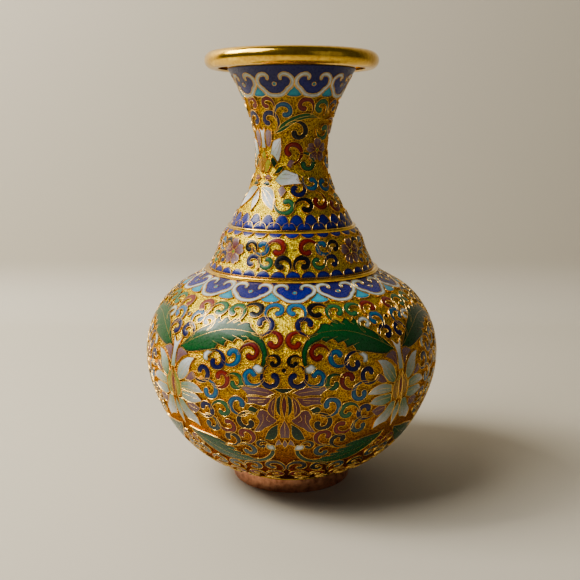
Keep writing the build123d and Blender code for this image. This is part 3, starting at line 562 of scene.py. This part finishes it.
# ---- Leaf tips and beads ----
TIPS = [
    ((8.8, 80.4), [[(9.4, 82.4), (11.2, 81.0)], [(9.8, 78.8), (7.4, 78.8), (7.0, 81.2)]]),
    ((5.4, 43.4), [[(4.6, 44.8), (7.4, 44.9)], [(7.4, 42.6), (5.6, 41.6), (3.6, 42.0)]]),
    ((29.0, 83.6), [[(28.6, 86.0), (30.6, 84.4)], [(30.2, 81.8), (28.2, 81.6), (28.4, 83.6),
     (26.6, 85.2)]]),
]
for (turn, s), runs in TIPS:
    cell(piece("fine_belly_leaf_tips", "enamel_white", "belly_leaf_tips"), BELLY_WIRES, BELLY, turn, s,
         charted(BELLY, turn, s, runs), fourfold(BELLY_TURN))
BEADS = piece("fine_belly_scrolls_black", "enamel_black", "belly_scrolls_black")
for turn, s, radius in ((45, 99.2, 1.1), (0, 80.0, 1.0)):
    cell(BEADS, BELLY_WIRES, BELLY, turn, s, ring(0, 0, radius), quarters(BELLY_TURN))

# ---- Cloud lappets ----
LAPPET_HALF = [(3.1, 2.9), (3.1, 4.2), (4.5, 5.2), (6.7, 4.9), (8.3, 3.2), (8.5, 1.0), (7.4, -1.0),
               (5.9, -2.2), (4.7, -3.7), (2.7, -5.1), (0, -5.5)]
GEM_HALF = [(0, 0.6), (1.2, -1.4), (2.7, -3.1), (3.9, -4.3), (3.5, -5.2), (2.0, -5.9), (0, -6.1)]


def mirrored(half):
    """The closed outline of a half outline that starts and ends on its mirror line."""
    line = curve(np.array(half), 0.4)
    return wound(np.concatenate([line, [half[-1]], line[:0:-1] * (-1, 1)]))


def lappets(prefix, zone, count, turn, s, size, top):
    """A row of cloud lappets with eyes, gems between them and a dark band behind."""
    nodes = {part: piece(f"fine_{prefix}_{part}", slot, f"{prefix}_{part}") for part, slot in
             (("lappets", "enamel_white"), ("fields", "enamel_cobalt"), ("eyes", "enamel_turquoise"),
              ("gems", "enamel_turquoise"))}
    wires = piece(f"fine_{prefix}_lappet_wires", "gilt_wire", f"{prefix}_cloisons")
    half = np.array(LAPPET_HALF)
    whole = np.concatenate([half, half[-2::-1] * (-1, 1)])
    line = np.concatenate([curve(whole, 0.45), [whole[-1]]]) * size
    ends = np.minimum(np.arange(len(line)), np.arange(len(line))[::-1])
    width = size * np.interp(ends, (0, 8), (0.6, 0.98))
    spread = around(count, turn)
    between = around(count, turn + 180 / count)
    cell(nodes["lappets"], wires, zone, 0, s, stroke(line, width), spread)
    places = jittered(spread, 0)
    closing = curve([line[-1], (0, 1.6 * size), line[0]])[1:]
    points, faces, deep = fill(wound(np.concatenate([line, closing])), 0.06, FIELD_SUNK)
    # painted shade: the fields darker at their edges beside the lappets' wires
    draw(nodes["fields"], zone, 0, s, (points, faces), places, 0.2 + 0.5 * np.clip(deep / 2, 0, 1))
    nodes["fields"].put(*lathe(wall(zone, s + 1.2 * size, top, SUNK, ENAMEL_EDGE - 0.1, 0.6)), 0.4)
    cell(nodes["eyes"], wires, zone, 0, s, ring(0, 0.3 * size, 0.95 * size), spread)
    gem = mirrored(GEM_HALF) * size
    points, faces, deep = fill(gem, 0.1, GEM_SUNK)
    # painted shade: the gems darker at their edges beside their wires
    draw(nodes["gems"], zone, 0, s, (points, faces), jittered(between), 0.2 + 0.6 * np.clip(deep / 1.5, 0, 1))
    draw(wires, zone, 0, s, wire(gem), jittered(between), 0.5)


lappets("shoulder", BELLY, 15, 1.5, 116.1, 1.0, BELLY.length - 0.6)
lappets("neck", NECK, 9, -17.5, 67.6, 0.93, NECK.length - 0.4)


# ---- Scales ----

def scales(node, zone, count, turn, s, height, wires):
    half = math.pi * float(zone.at(s)[0]) / count - WIRE / 2
    a = np.linspace(0, math.pi, 13)
    arch = wound(np.stack([half * np.cos(a), height * np.sin(a)], -1))
    cell(piece("fine_" + node, "enamel_cobalt", node), wires, zone, 0, s, arch, around(count, turn))


NECK_BORDER_WIRES = piece("fine_neck_scale_wires", "gilt_wire", "neck_cloisons")
COLLAR_BORDER_WIRES = piece("fine_collar_scale_wires", "gilt_wire", "collar_cloisons")
scales("neck_scales_upper", NECK, 26, -2.5 + 180 / 26, 2.6, 5.6, NECK_BORDER_WIRES)
scales("neck_scales_lower", NECK, 26, -2.5, 0.9, 3.5, NECK_BORDER_WIRES)
scales("collar_scales_upper", COLLAR, 27, 0, COLLAR.length - 0.8, -2.9, COLLAR_BORDER_WIRES)
scales("collar_scales_lower", COLLAR, 36, 1, 1.5, 3.0, COLLAR_BORDER_WIRES)


# ---- Blossoms ----
PETAL_HALF = [(0, 0.6), (1.2, 1.5), (2.3, 3.4), (1.9, 5.2), (0.9, 5.9), (0, 5.3)]


def blossom(nodes, wires, zone, turn, s, size, spread):
    """Five notched petals about a round heart."""
    half = curve(np.array(PETAL_HALF) * size, 0.4)
    outline = np.concatenate([half, [[0, 5.3 * size]], half[:0:-1] * (-1, 1)])
    vein = np.array([(0, 1.7), (0.1, 3.0), (0, 4.4)]) * size
    for step in range(5):
        a = math.radians(72 * step)
        spin = np.array([[math.cos(a), math.sin(a)], [-math.sin(a), math.cos(a)]])
        cell(nodes[0], wires, zone, turn, s, wound(outline @ spin), spread, [vein @ spin],
             heart=(0, 0, 6 * size))
    cell(nodes[1], wires, zone, turn, s, ring(0, 0, 0.95 * size), spread)


blossom((piece("fine_collar_blossoms", "enamel_mauve", "collar_blossoms"),
         piece("fine_collar_blossom_hearts", "enamel_yellow_green", "collar_blossom_hearts")),
        piece("fine_collar_blossom_wires", "gilt_wire", "collar_cloisons"), COLLAR, 0, 11.9, 1.05,
        [(turn, 1) for turn in BLOSSOM_TURNS])
blossom((piece("fine_neck_flowers", "enamel_mauve", "neck_flowers"),
         piece("fine_neck_lotus_hearts", "enamel_yellow_green", "neck_lotus_hearts")),
        piece("fine_neck_flower_wires", "gilt_wire", "neck_cloisons"), NECK, FLOWER_TURN, 38.0, 0.95,
        both_sides())

# ---- Neck lotus, its long leaf and the buds beside it ----
LOTUS_SIDES = [
    ("lotus_white", (14, 16.5), [[(12, 21.4), (22.0, 20.2), (27.0, 15.6), (27.0, 10.0)], [(19.0, 12.2),
     (11.0, 15.4), (3.2, 20.8)]], [[(6, 20.0), (15, 16.6), (24, 12.4)], [(8, 20.6), (17, 18.6),
     (24.6, 15.4)]]),
    ("leaves", (11, 22.6), [[(11, 24.0), (18, 22.4)], [(11, 21.6), (4, 22.6)]], []),
    ("lotus_pink", (11, 25.4), [[(11, 27.0), (18.4, 25.0)], [(11, 24.4), (3.4, 25.4)]], [[(6, 25.6),
     (11, 25.7), (15.6, 25.2)]]),
    ("lotus_hearts", (8.5, 30), [[(9.5, 28.7), (14.5, 32.6)], [(8.0, 34.0), (3.0, 32.2)], [(2.4, 27.9)]],
     [[(4.4, 29.4), (8.6, 30.8), (11.6, 32.4)]]),
    ("lotus_pink", (11.5, 43), [[(10, 47.2), (17.2, 46.4)], [(16.4, 42.2), (12.2, 39.2)], [(6.6, 40.4),
     (5.6, 45.4)]], [[(11.0, 40.8), (11.6, 43.4), (13.6, 45.4)]]),
    ("leaves", (19, 33), [[(18, 34.8), (25, 32.0)], [(20, 30.2), (13.2, 33.4)]], []),
    ("lotus_white", (22.5, 38), [[(18.2, 41.4), (24, 42.8), (31.6, 43.6)], [(31.6, 38.6), (28.6, 34.2),
     (25.4, 32.8)], [(19.0, 35.4), (12.8, 36.2)]], [[(17.0, 37.0), (23, 39.0), (29.4, 42.0)],
     [(23.0, 35.4), (27.6, 38.4), (30.2, 41.2)]]),
]
NECK_CELLS = [
    ("lotus_white", (-47.5, 14.2), [[(-42.9, 14.6), (-47.5, 9.2)], [(-52.1, 14.6), (-47.5, 20.0)]],
     [[(-47.5, 17.8), (-47.2, 14.6), (-47.5, 11.4)]]),
    ("lotus_hearts", (-47.5, 34), [[(-42.2, 34.8), (-47.5, 28.6)], [(-52.8, 34.8), (-47.5, 38.2)]],
     [[(-47.5, 36.4), (-46.2, 33.6), (-47.5, 30.4)], [(-47.5, 36.4), (-48.8, 33.6), (-47.5, 30.4)]]),
    ("lotus_white", (-47.5, 43), [[(-47.5, 46.8), (-42.0, 48.6)], [(-44.4, 43.0), (-43.2, 39.0)],
     [(-51.8, 39.0)], [(-50.6, 43.0), (-53.0, 48.6)]], []),
    ("lotus_white", (-6, 25.5), [[(-17.0, 27.6), (-10.0, 29.3), (0.0, 28.2), (8.5, 27.4)], [(10.6, 25.0),
     (13.6, 22.8)], [(0.0, 22.6), (-14.5, 22.2), (-24.5, 24.4)]], [[(-22.0, 24.6), (-10.0, 25.4),
     (2.0, 25.0)], [(-14.0, 27.0), (-5.0, 27.2), (5.0, 26.4)]]),
    ("leaves", (-20, 28.8), [[(-20.0, 30.2), (-11.6, 31.2)], [(-17.0, 28.3), (-27.4, 27.2)]], []),
    ("lotus_pink", (-2, 32), [[(-3.0, 33.9), (4.6, 33.2)], [(-1.0, 30.2), (-8.0, 31.2)]], []),
    ("lotus_pink", (-13, 19.6), [[(-13.0, 21.9), (-7.2, 19.6)], [(-13.0, 16.6), (-18.4, 20.0)]], []),
    ("leaves", (8, 51.2), [[(-14, 49.9), (4, 53.4), (22, 54.6), (42, 52.2)], [(24, 52.3), (6, 50.6),
     (-12, 46.7), (-26, 45.2)]], [[(-22, 46.4), (-12, 48.4), (6, 52.0), (24, 53.4), (38, 52.6)]]),
]
flower_cells("neck", NECK, LOTUS_SIDES, lotus_sides(), ((0, 30),), NECK_REACH)
flower_cells("neck", NECK, NECK_CELLS, both_sides(), ((LOTUS_TURN, 30),), NECK_REACH)


# ---- Turned copper, linings, bands, lip and foot ----

def turned(node, slot, section):
    piece("fine_" + node, slot, node).put(*lathe(section), 0.5)


def copper(node, zone, s0, below=None):
    """A shell from s0 to its zone's end, with its heel reaching in to the shell below."""
    section = wall(zone, s0, zone.length, -WALL, 0)
    if below is not None:
        section = np.concatenate([section, [below]])
    turned(node, "gilt_ground", section)


def crease(zone, lift):
    """Where a zone ends: (radius, z)."""
    return tuple(float(v) for v in zone.at(zone.length, lift))


copper("shoulder_shell", BELLY, WAIST)
copper("collar_shell", COLLAR, 0, crease(BELLY, -WALL))
copper("neck_shell", NECK, 0, crease(COLLAR, -WALL))
inner_radius, floor_z = (float(v) for v in BELLY.at(0, -WALL))
turned("lower_bowl_shell", "gilt_ground",
       np.concatenate([[(0, FOOT_HEIGHT)], wall(BELLY, 0, WAIST, -WALL, 0)[:-1],
                       [(inner_radius, floor_z), (0, floor_z)]]))
turned("rolled_lip", "gilt_polished", wall(LIP, 0, LIP.length, -WALL, 0, 0.35))
for node, zone, low_end, high_end in (("belly_lining", BELLY, 3, 0), ("collar_lining", COLLAR, 0, 0),
                                      ("neck_lining", NECK, 0, 4)):
    turned(node, "counter_enamel", wall(zone, low_end, zone.length - high_end, -WALL - LINING, -WALL))


def rounded(low, high, inner, outer, radius, count=6):
    """A rounded rectangular (radius, z) section, anticlockwise from its lower outer corner."""
    corners = ((outer - radius, low + radius, -90), (outer - radius, high - radius, 0),
               (inner + radius, high - radius, 90), (inner + radius, low + radius, 180))
    return np.array([(x + radius * math.cos(math.radians(start + 90 * k / count)),
                      z + radius * math.sin(math.radians(start + 90 * k / count)))
                     for x, z, start in corners for k in range(count + 1)])


for name, zone in (("shoulder", BELLY), ("neck", COLLAR)):
    radius, z = crease(zone, 0)
    turned(f"{name}_band", "gilt_polished",
           rounded(z - 0.5, z - 0.5 + BAND_HEIGHT, radius - WALL / 2, BAND_RADII[name], 0.55))
turned("foot_ring", "copper", rounded(0, FOOT_HEIGHT, FOOT_INNER, FOOT_OUTER, 0.5))
turned("foot_wire", "gilt_polished",
       rounded(FOOT_HEIGHT - 0.8, FOOT_HEIGHT, FOOT_OUTER - 0.2, FOOT_OUTER + 0.8, 0.38))
turned("base_enamel", "counter_enamel",
       [(0, FOOT_HEIGHT - 0.5), (FOOT_INNER - 0.4, FOOT_HEIGHT - 0.5), (FOOT_INNER, FOOT_HEIGHT - 0.9),
        (FOOT_INNER, FOOT_HEIGHT), (0, FOOT_HEIGHT)])


# ---- Materials ----

class Nodes:
    """A new node material with its surface shader, and short ways to add to it."""

    def __init__(self, name, **settings):
        self.material = bpy.data.materials.new(name)
        self.material.use_nodes = True
        self.tree = self.material.node_tree
        self.shader = self.tree.nodes["Principled BSDF"]
        for socket, value in settings.items():
            self.shader.inputs[socket.replace("_", " ")].default_value = value
        self.place = self.add("ShaderNodeTexCoord").outputs["Object"]

    def add(self, kind, inputs=None, **settings):
        node = self.tree.nodes.new(kind)
        for key, value in settings.items():
            setattr(node, key, value)
        for key, value in (inputs or {}).items():
            if isinstance(value, bpy.types.NodeSocket):
                self.tree.links.new(value, node.inputs[key])
            else:
                node.inputs[key].default_value = value
        return node

    def noise(self, size_mm, detail=3.0, rough=0.55, stretch=None):
        """Noise from 0 to 1 whose features are about size_mm across."""
        place = self.place
        if stretch:
            place = self.add("ShaderNodeMapping", {"Vector": place, "Scale": stretch}).outputs[0]
        return self.add("ShaderNodeTexNoise", {"Vector": place, "Scale": 1 / (size_mm * MM), "Detail": detail,
                                               "Roughness": rough}).outputs["Fac"]

    def grains(self, size_mm, feature="F1"):
        return self.add("ShaderNodeTexVoronoi", {"Vector": self.place, "Scale": 1 / (size_mm * MM)},
                        feature=feature).outputs["Distance"]

    def maths(self, operation, a, b=0.0, clamp=False):
        return self.add("ShaderNodeMath", {0: a, 1: b}, operation=operation, use_clamp=clamp).outputs[0]

    def ramp(self, value, *stops):
        """Colours at places from 0 to 1."""
        node = self.add("ShaderNodeValToRGB", {"Fac": value})
        elements = node.color_ramp.elements
        while len(elements) < len(stops):
            elements.new(0.5)
        for element, (place, colour) in zip(elements, stops):
            element.position = place
            element.color = (*colour, 1)
        return node.outputs["Color"]

    def blend(self, share, a, b, mode="MIX"):
        node = self.add("ShaderNodeMix", data_type="RGBA", blend_type=mode)
        for key, value in ((0, share), (6, a), (7, b)):
            if isinstance(value, bpy.types.NodeSocket):
                self.tree.links.new(value, node.inputs[key])
            else:
                node.inputs[key].default_value = value if key == 0 else (*value, 1)
        return node.outputs[2]

    def span(self, value, low, high, to_low, to_high):
        return self.add("ShaderNodeMapRange", {"Value": value, "From Min": low, "From Max": high,
                                               "To Min": to_low, "To Max": to_high}).outputs[0]

    def bump(self, height, depth_mm, strength=1.0):
        node = self.add("ShaderNodeBump", {"Height": height, "Distance": depth_mm * MM, "Strength": strength})
        self.tree.links.new(node.outputs[0], self.shader.inputs["Normal"])

    def into(self, socket, value):
        self.tree.links.new(value, self.shader.inputs[socket])

    def shade(self):
        return self.add("ShaderNodeAttribute", attribute_name="shade").outputs["Fac"]

    def height(self):
        """z in the vase's frame, in metres."""
        return self.add("ShaderNodeSeparateXYZ", {0: self.place}).outputs["Z"]


DEPTH = 0.68           # share of the ENAMELS colours that a fired fill shows
ENAMEL_ROUGH = 0.3
GROUND_DARKENING = (0.82, 0.8, 0.8)             # share of the ground's colours that is kept: every ground colour is darkened by it


def enamel(name, stops, mottle):
    """Fired enamel: colour by shade with a cloudy mottle, fine pits and a soft wavy gloss."""
    n = Nodes(name, Coat_Weight=0.14, Coat_Roughness=0.05, Specular_IOR_Level=0.2)
    cloud = n.maths("SUBTRACT", n.noise(1.6, 4), 0.5)
    value = n.maths("ADD", n.shade(), n.maths("MULTIPLY", cloud, mottle), True)
    colour = n.ramp(value, *[(place, [DEPTH * part for part in tone]) for place, tone in stops])
    pits = n.maths("LESS_THAN", n.grains(0.9), 0.09)
    colour = n.blend(n.maths("MULTIPLY", pits, 0.55), colour, (0.02, 0.02, 0.02))
    n.into("Base Color", colour)
    n.into("Roughness", n.span(n.noise(0.7, 2), 0.3, 0.75,
                               ENAMEL_ROUGH * 0.6, ENAMEL_ROUGH * 1.7))
    wave = n.maths("SUBTRACT", n.maths("MULTIPLY", n.noise(1.3, 2), 0.6), pits)
    n.bump(wave, 0.05, 0.8)
    return n.material


def gilt(name, bright, deep, rough, grain_mm, depth_mm):
    """Gilding over copper: hammered or brushed grain, with the deeper colour in its hollows."""
    n = Nodes(name, Metallic=1.0)
    grain = n.maths("ADD", n.maths("MULTIPLY", n.noise(grain_mm, 3, 0.7), 0.6),
                    n.maths("MULTIPLY", n.grains(grain_mm * 1.4, "SMOOTH_F1"), 0.5))
    patch = n.span(n.noise(7, 4), 0.35, 0.7, 0, 0.5)
    colour = n.blend(n.span(grain, 0.35, 0.75, 0, 1), deep, bright)
    n.into("Base Color", n.blend(patch, colour, deep))
    n.into("Roughness", n.span(grain, 0.3, 0.8, rough * 1.25, rough * 0.8))
    n.bump(grain, depth_mm, 0.9)
    return n.material


def ground():
    """The stippled gilt ground, its colour by height painted with light and shade: a painted highlight of
    lemon gold at the shoulder, painted shade turning it orange lower down, brown at the foot and darker again
    up the neck.
    """
    n = Nodes("gilt_ground", Metallic=1.0, Specular_Tint=(0.85, 0.45, 0.06, 1))
    grain = n.maths("ADD", n.maths("MULTIPLY", n.noise(0.42, 2, 0.6), 0.7),
                    n.maths("MULTIPLY", n.grains(0.6, "SMOOTH_F1"), 0.45))
    # painted light and shade by height: dark brown at the foot, orange low on the belly, lemon gold at the
    # lit shoulder, darker again up the neck
    zone = n.ramp(n.span(n.height(), 0.0, 0.2, 0, 1),
                  (0.03, (0.10, 0.020, 0.001)), (0.12, (0.26, 0.07, 0.001)), (0.22, (0.62, 0.30, 0.001)),
                  (0.36, (0.92, 0.56, 0.001)), (0.45, (1.0, 0.80, 0.004)), (0.66, (1.0, 0.76, 0.004)),
                  (0.80, (0.66, 0.42, 0.002)), (1.0, (0.44, 0.27, 0.002)))
    hollow = n.blend(1.0, zone, (0.22, 0.15, 0.05), "MULTIPLY")
    colour = n.blend(n.span(grain, 0.44, 0.60, 0, 1), hollow, zone)
    # every ground colour multiplied by a flat darkening
    n.into("Base Color", n.blend(1.0, colour, GROUND_DARKENING, "MULTIPLY"))
    n.into("Roughness", n.span(grain, 0.3, 0.8, 0.42, 0.24))
    n.bump(grain, 0.5, 1.0)
    return n.material


def counter_enamel():
    n = Nodes("counter_enamel", Coat_Weight=0.4, Coat_Roughness=0.1)
    speck = n.grains(1.2)
    colour = n.ramp(n.noise(3, 5), (0.3, (0.10, 0.33, 0.40)), (0.7, (0.20, 0.50, 0.54)))
    n.into("Base Color", n.blend(n.maths("LESS_THAN", speck, 0.12), colour, (0.04, 0.12, 0.16)))
    n.into("Roughness", n.span(n.noise(0.8), 0.3, 0.7, 0.2, 0.4))
    n.bump(n.noise(1.1, 3), 0.12, 0.8)
    return n.material


def copper_metal():
    """Bare turned copper, browned, with the lathe's fine rings."""
    n = Nodes("copper", Metallic=1.0)
    rings = n.noise(0.35, 2, 0.5, (0.02, 0.02, 1.0))
    colour = n.ramp(n.noise(3.0, 5, 0.6), (0.3, (0.30, 0.10, 0.05)), (0.55, (0.62, 0.27, 0.14)),
                    (0.75, (0.78, 0.40, 0.22)))
    n.into("Base Color", colour)
    n.into("Roughness", n.span(rings, 0.3, 0.7, 0.28, 0.46))
    n.bump(rings, 0.05, 0.8)
    return n.material


# Enamels by colour: colours at shades from 0 to 1. Low shades at a fill's edge are painted shade beside its
# wires; by a flower's heart they are the enamel's own colours.
ENAMELS = {
    "white": ((0.0, (0.03, 0.14, 0.02)), (0.25, (0.24, 0.33, 0.22)), (0.5, (0.46, 0.50, 0.47)),
              (0.8, (0.84, 0.88, 0.92)), (1.0, (0.9, 0.93, 0.97))),
    "cobalt": ((0.0, (0.001, 0.001, 0.035)), (0.5, (0.001, 0.003, 0.13)), (1.0, (0.004, 0.010, 0.26))),
    "navy": ((0.0, (0.001, 0.001, 0.014)), (0.5, (0.001, 0.002, 0.05)), (1.0, (0.004, 0.006, 0.11))),
    "turquoise": ((0.0, (0.0, 0.12, 0.20)), (0.5, (0.002, 0.27, 0.42)), (1.0, (0.01, 0.42, 0.60))),
    "blue": ((0.0, (0.001, 0.025, 0.07)), (0.5, (0.004, 0.08, 0.20)), (1.0, (0.02, 0.18, 0.36))),
    "steel": ((0.0, (0.003, 0.012, 0.02)), (0.5, (0.012, 0.045, 0.06)), (1.0, (0.05, 0.11, 0.14))),
    "green": ((0.0, (0.001, 0.03, 0.006)), (0.5, (0.01, 0.10, 0.03)), (1.0, (0.04, 0.22, 0.07))),
    "leaf_green": ((0.0, (0.0, 0.008, 0.001)), (0.5, (0.0, 0.035, 0.006)), (1.0, (0.002, 0.10, 0.015))),
    "yellow_green": ((0.0, (0.34, 0.14, 0.004)), (0.12, (0.30, 0.27, 0.005)), (0.3, (0.10, 0.22, 0.006)),
                     (1.0, (0.01, 0.10, 0.008))),
    "black": ((0.0, (0.001, 0.001, 0.002)), (1.0, (0.004, 0.004, 0.008))),
    "red": ((0.0, (0.05, 0.001, 0.001)), (0.5, (0.15, 0.003, 0.001)), (1.0, (0.28, 0.014, 0.005))),
    "mauve": ((0.0, (0.14, 0.02, 0.02)), (0.4, (0.17, 0.07, 0.09)), (0.75, (0.24, 0.15, 0.17)),
              (1.0, (0.32, 0.24, 0.27))),
}
MOTTLES = {"leaf_green": 0.6}          # cloudiness where it isn't the usual
MATERIALS = {
    "gilt_ground": ground(),
    "gilt_polished": gilt("gilt_polished", (1.0, 0.66, 0.06), (0.62, 0.34, 0.02), 0.17, 1.2, 0.03),
    "gilt_wire": gilt("gilt_wire", (1.0, 0.66, 0.14), (0.50, 0.27, 0.05), 0.26, 0.5, 0.02),
    "copper": copper_metal(),
    "counter_enamel": counter_enamel(),
}
for colour, stops in ENAMELS.items():
    MATERIALS["enamel_" + colour] = enamel("enamel_" + colour, stops, MOTTLES.get(colour, 0.35))
for name, made in sorted(pieces.items()):
    make_object(name, made, MATERIALS[made.slot])

# ---- Floor, light and camera, in metres ----

def plain(name, colour, rough):
    n = Nodes(name, Roughness=rough)
    n.into("Base Color", n.blend(n.span(n.noise(60, 3), 0.3, 0.7, 0, 0.05), colour, (0.5, 0.45, 0.4)))
    return n.material


def backdrop():
    """A pale floor that curves up into a wall behind the vase."""
    reach, wide, bend = 0.30, 2.4, 0.05
    line = [(-1.2, 0.0)] + [(reach + bend * math.sin(a), bend - bend * math.cos(a))
                            for a in np.linspace(0, math.pi / 2, 12)] + [(reach + bend, 1.6)]
    mesh = bpy.data.meshes.new("floor")
    points = [(x, y, z) for y, z in line for x in (-wide, wide)]
    faces = [(2 * k, 2 * k + 1, 2 * k + 3, 2 * k + 2) for k in range(len(line) - 1)]
    mesh.from_pydata(points, [], faces)
    mesh.shade_smooth()
    mesh.materials.append(plain("pale_floor", (0.50, 0.45, 0.36), 0.7))
    floor = bpy.data.objects.new("floor", mesh)
    bpy.context.scene.collection.objects.link(floor)


def area_light(name, place, aim, size, power, colour):
    data = bpy.data.lights.new(name, "AREA")
    data.shape = "RECTANGLE"
    data.size, data.size_y = size
    data.energy, data.color = power, colour
    lamp = bpy.data.objects.new(name, data)
    lamp.location = place
    lamp.rotation_euler = (Vector(aim) - Vector(place)).to_track_quat("-Z", "Y").to_euler()
    bpy.context.scene.collection.objects.link(lamp)


backdrop()
area_light("window", (-0.55, -0.25, 0.85), (0, 0, 0.11), (0.5, 0.5), 10, (1.0, 0.98, 0.92))
area_light("wall_wash", (-0.75, 0.02, 0.75), (-0.25, 0.35, 0.25), (0.4, 0.4), 16, (1.0, 0.96, 0.86))
area_light("fill", (0.9, -0.8, 0.5), (0, 0, 0.1), (0.9, 0.9), 0.5, (1.0, 0.96, 0.9))
world = bpy.data.worlds.new("studio")
world.use_nodes = True
world.node_tree.nodes["Background"].inputs["Color"].default_value = (0.86, 0.84, 0.8, 1)
world.node_tree.nodes["Background"].inputs["Strength"].default_value = 0.08
bpy.context.scene.world = world

SENSOR_MM = 36
FOCAL_SHARE = 850 / 580                # focal length as a share of the frame's width
CAMERA_PLACE = (-0.00077, -0.3976, 0.1678)
CAMERA_DIP = 11.0                      # degrees below level
view = bpy.data.cameras.new("camera")
view.sensor_width, view.lens = SENSOR_MM, SENSOR_MM * FOCAL_SHARE
camera = bpy.data.objects.new("camera", view)
camera.location = CAMERA_PLACE
camera.rotation_euler = (math.radians(90 - CAMERA_DIP), 0, 0)
bpy.context.scene.collection.objects.link(camera)
bpy.context.scene.camera = camera
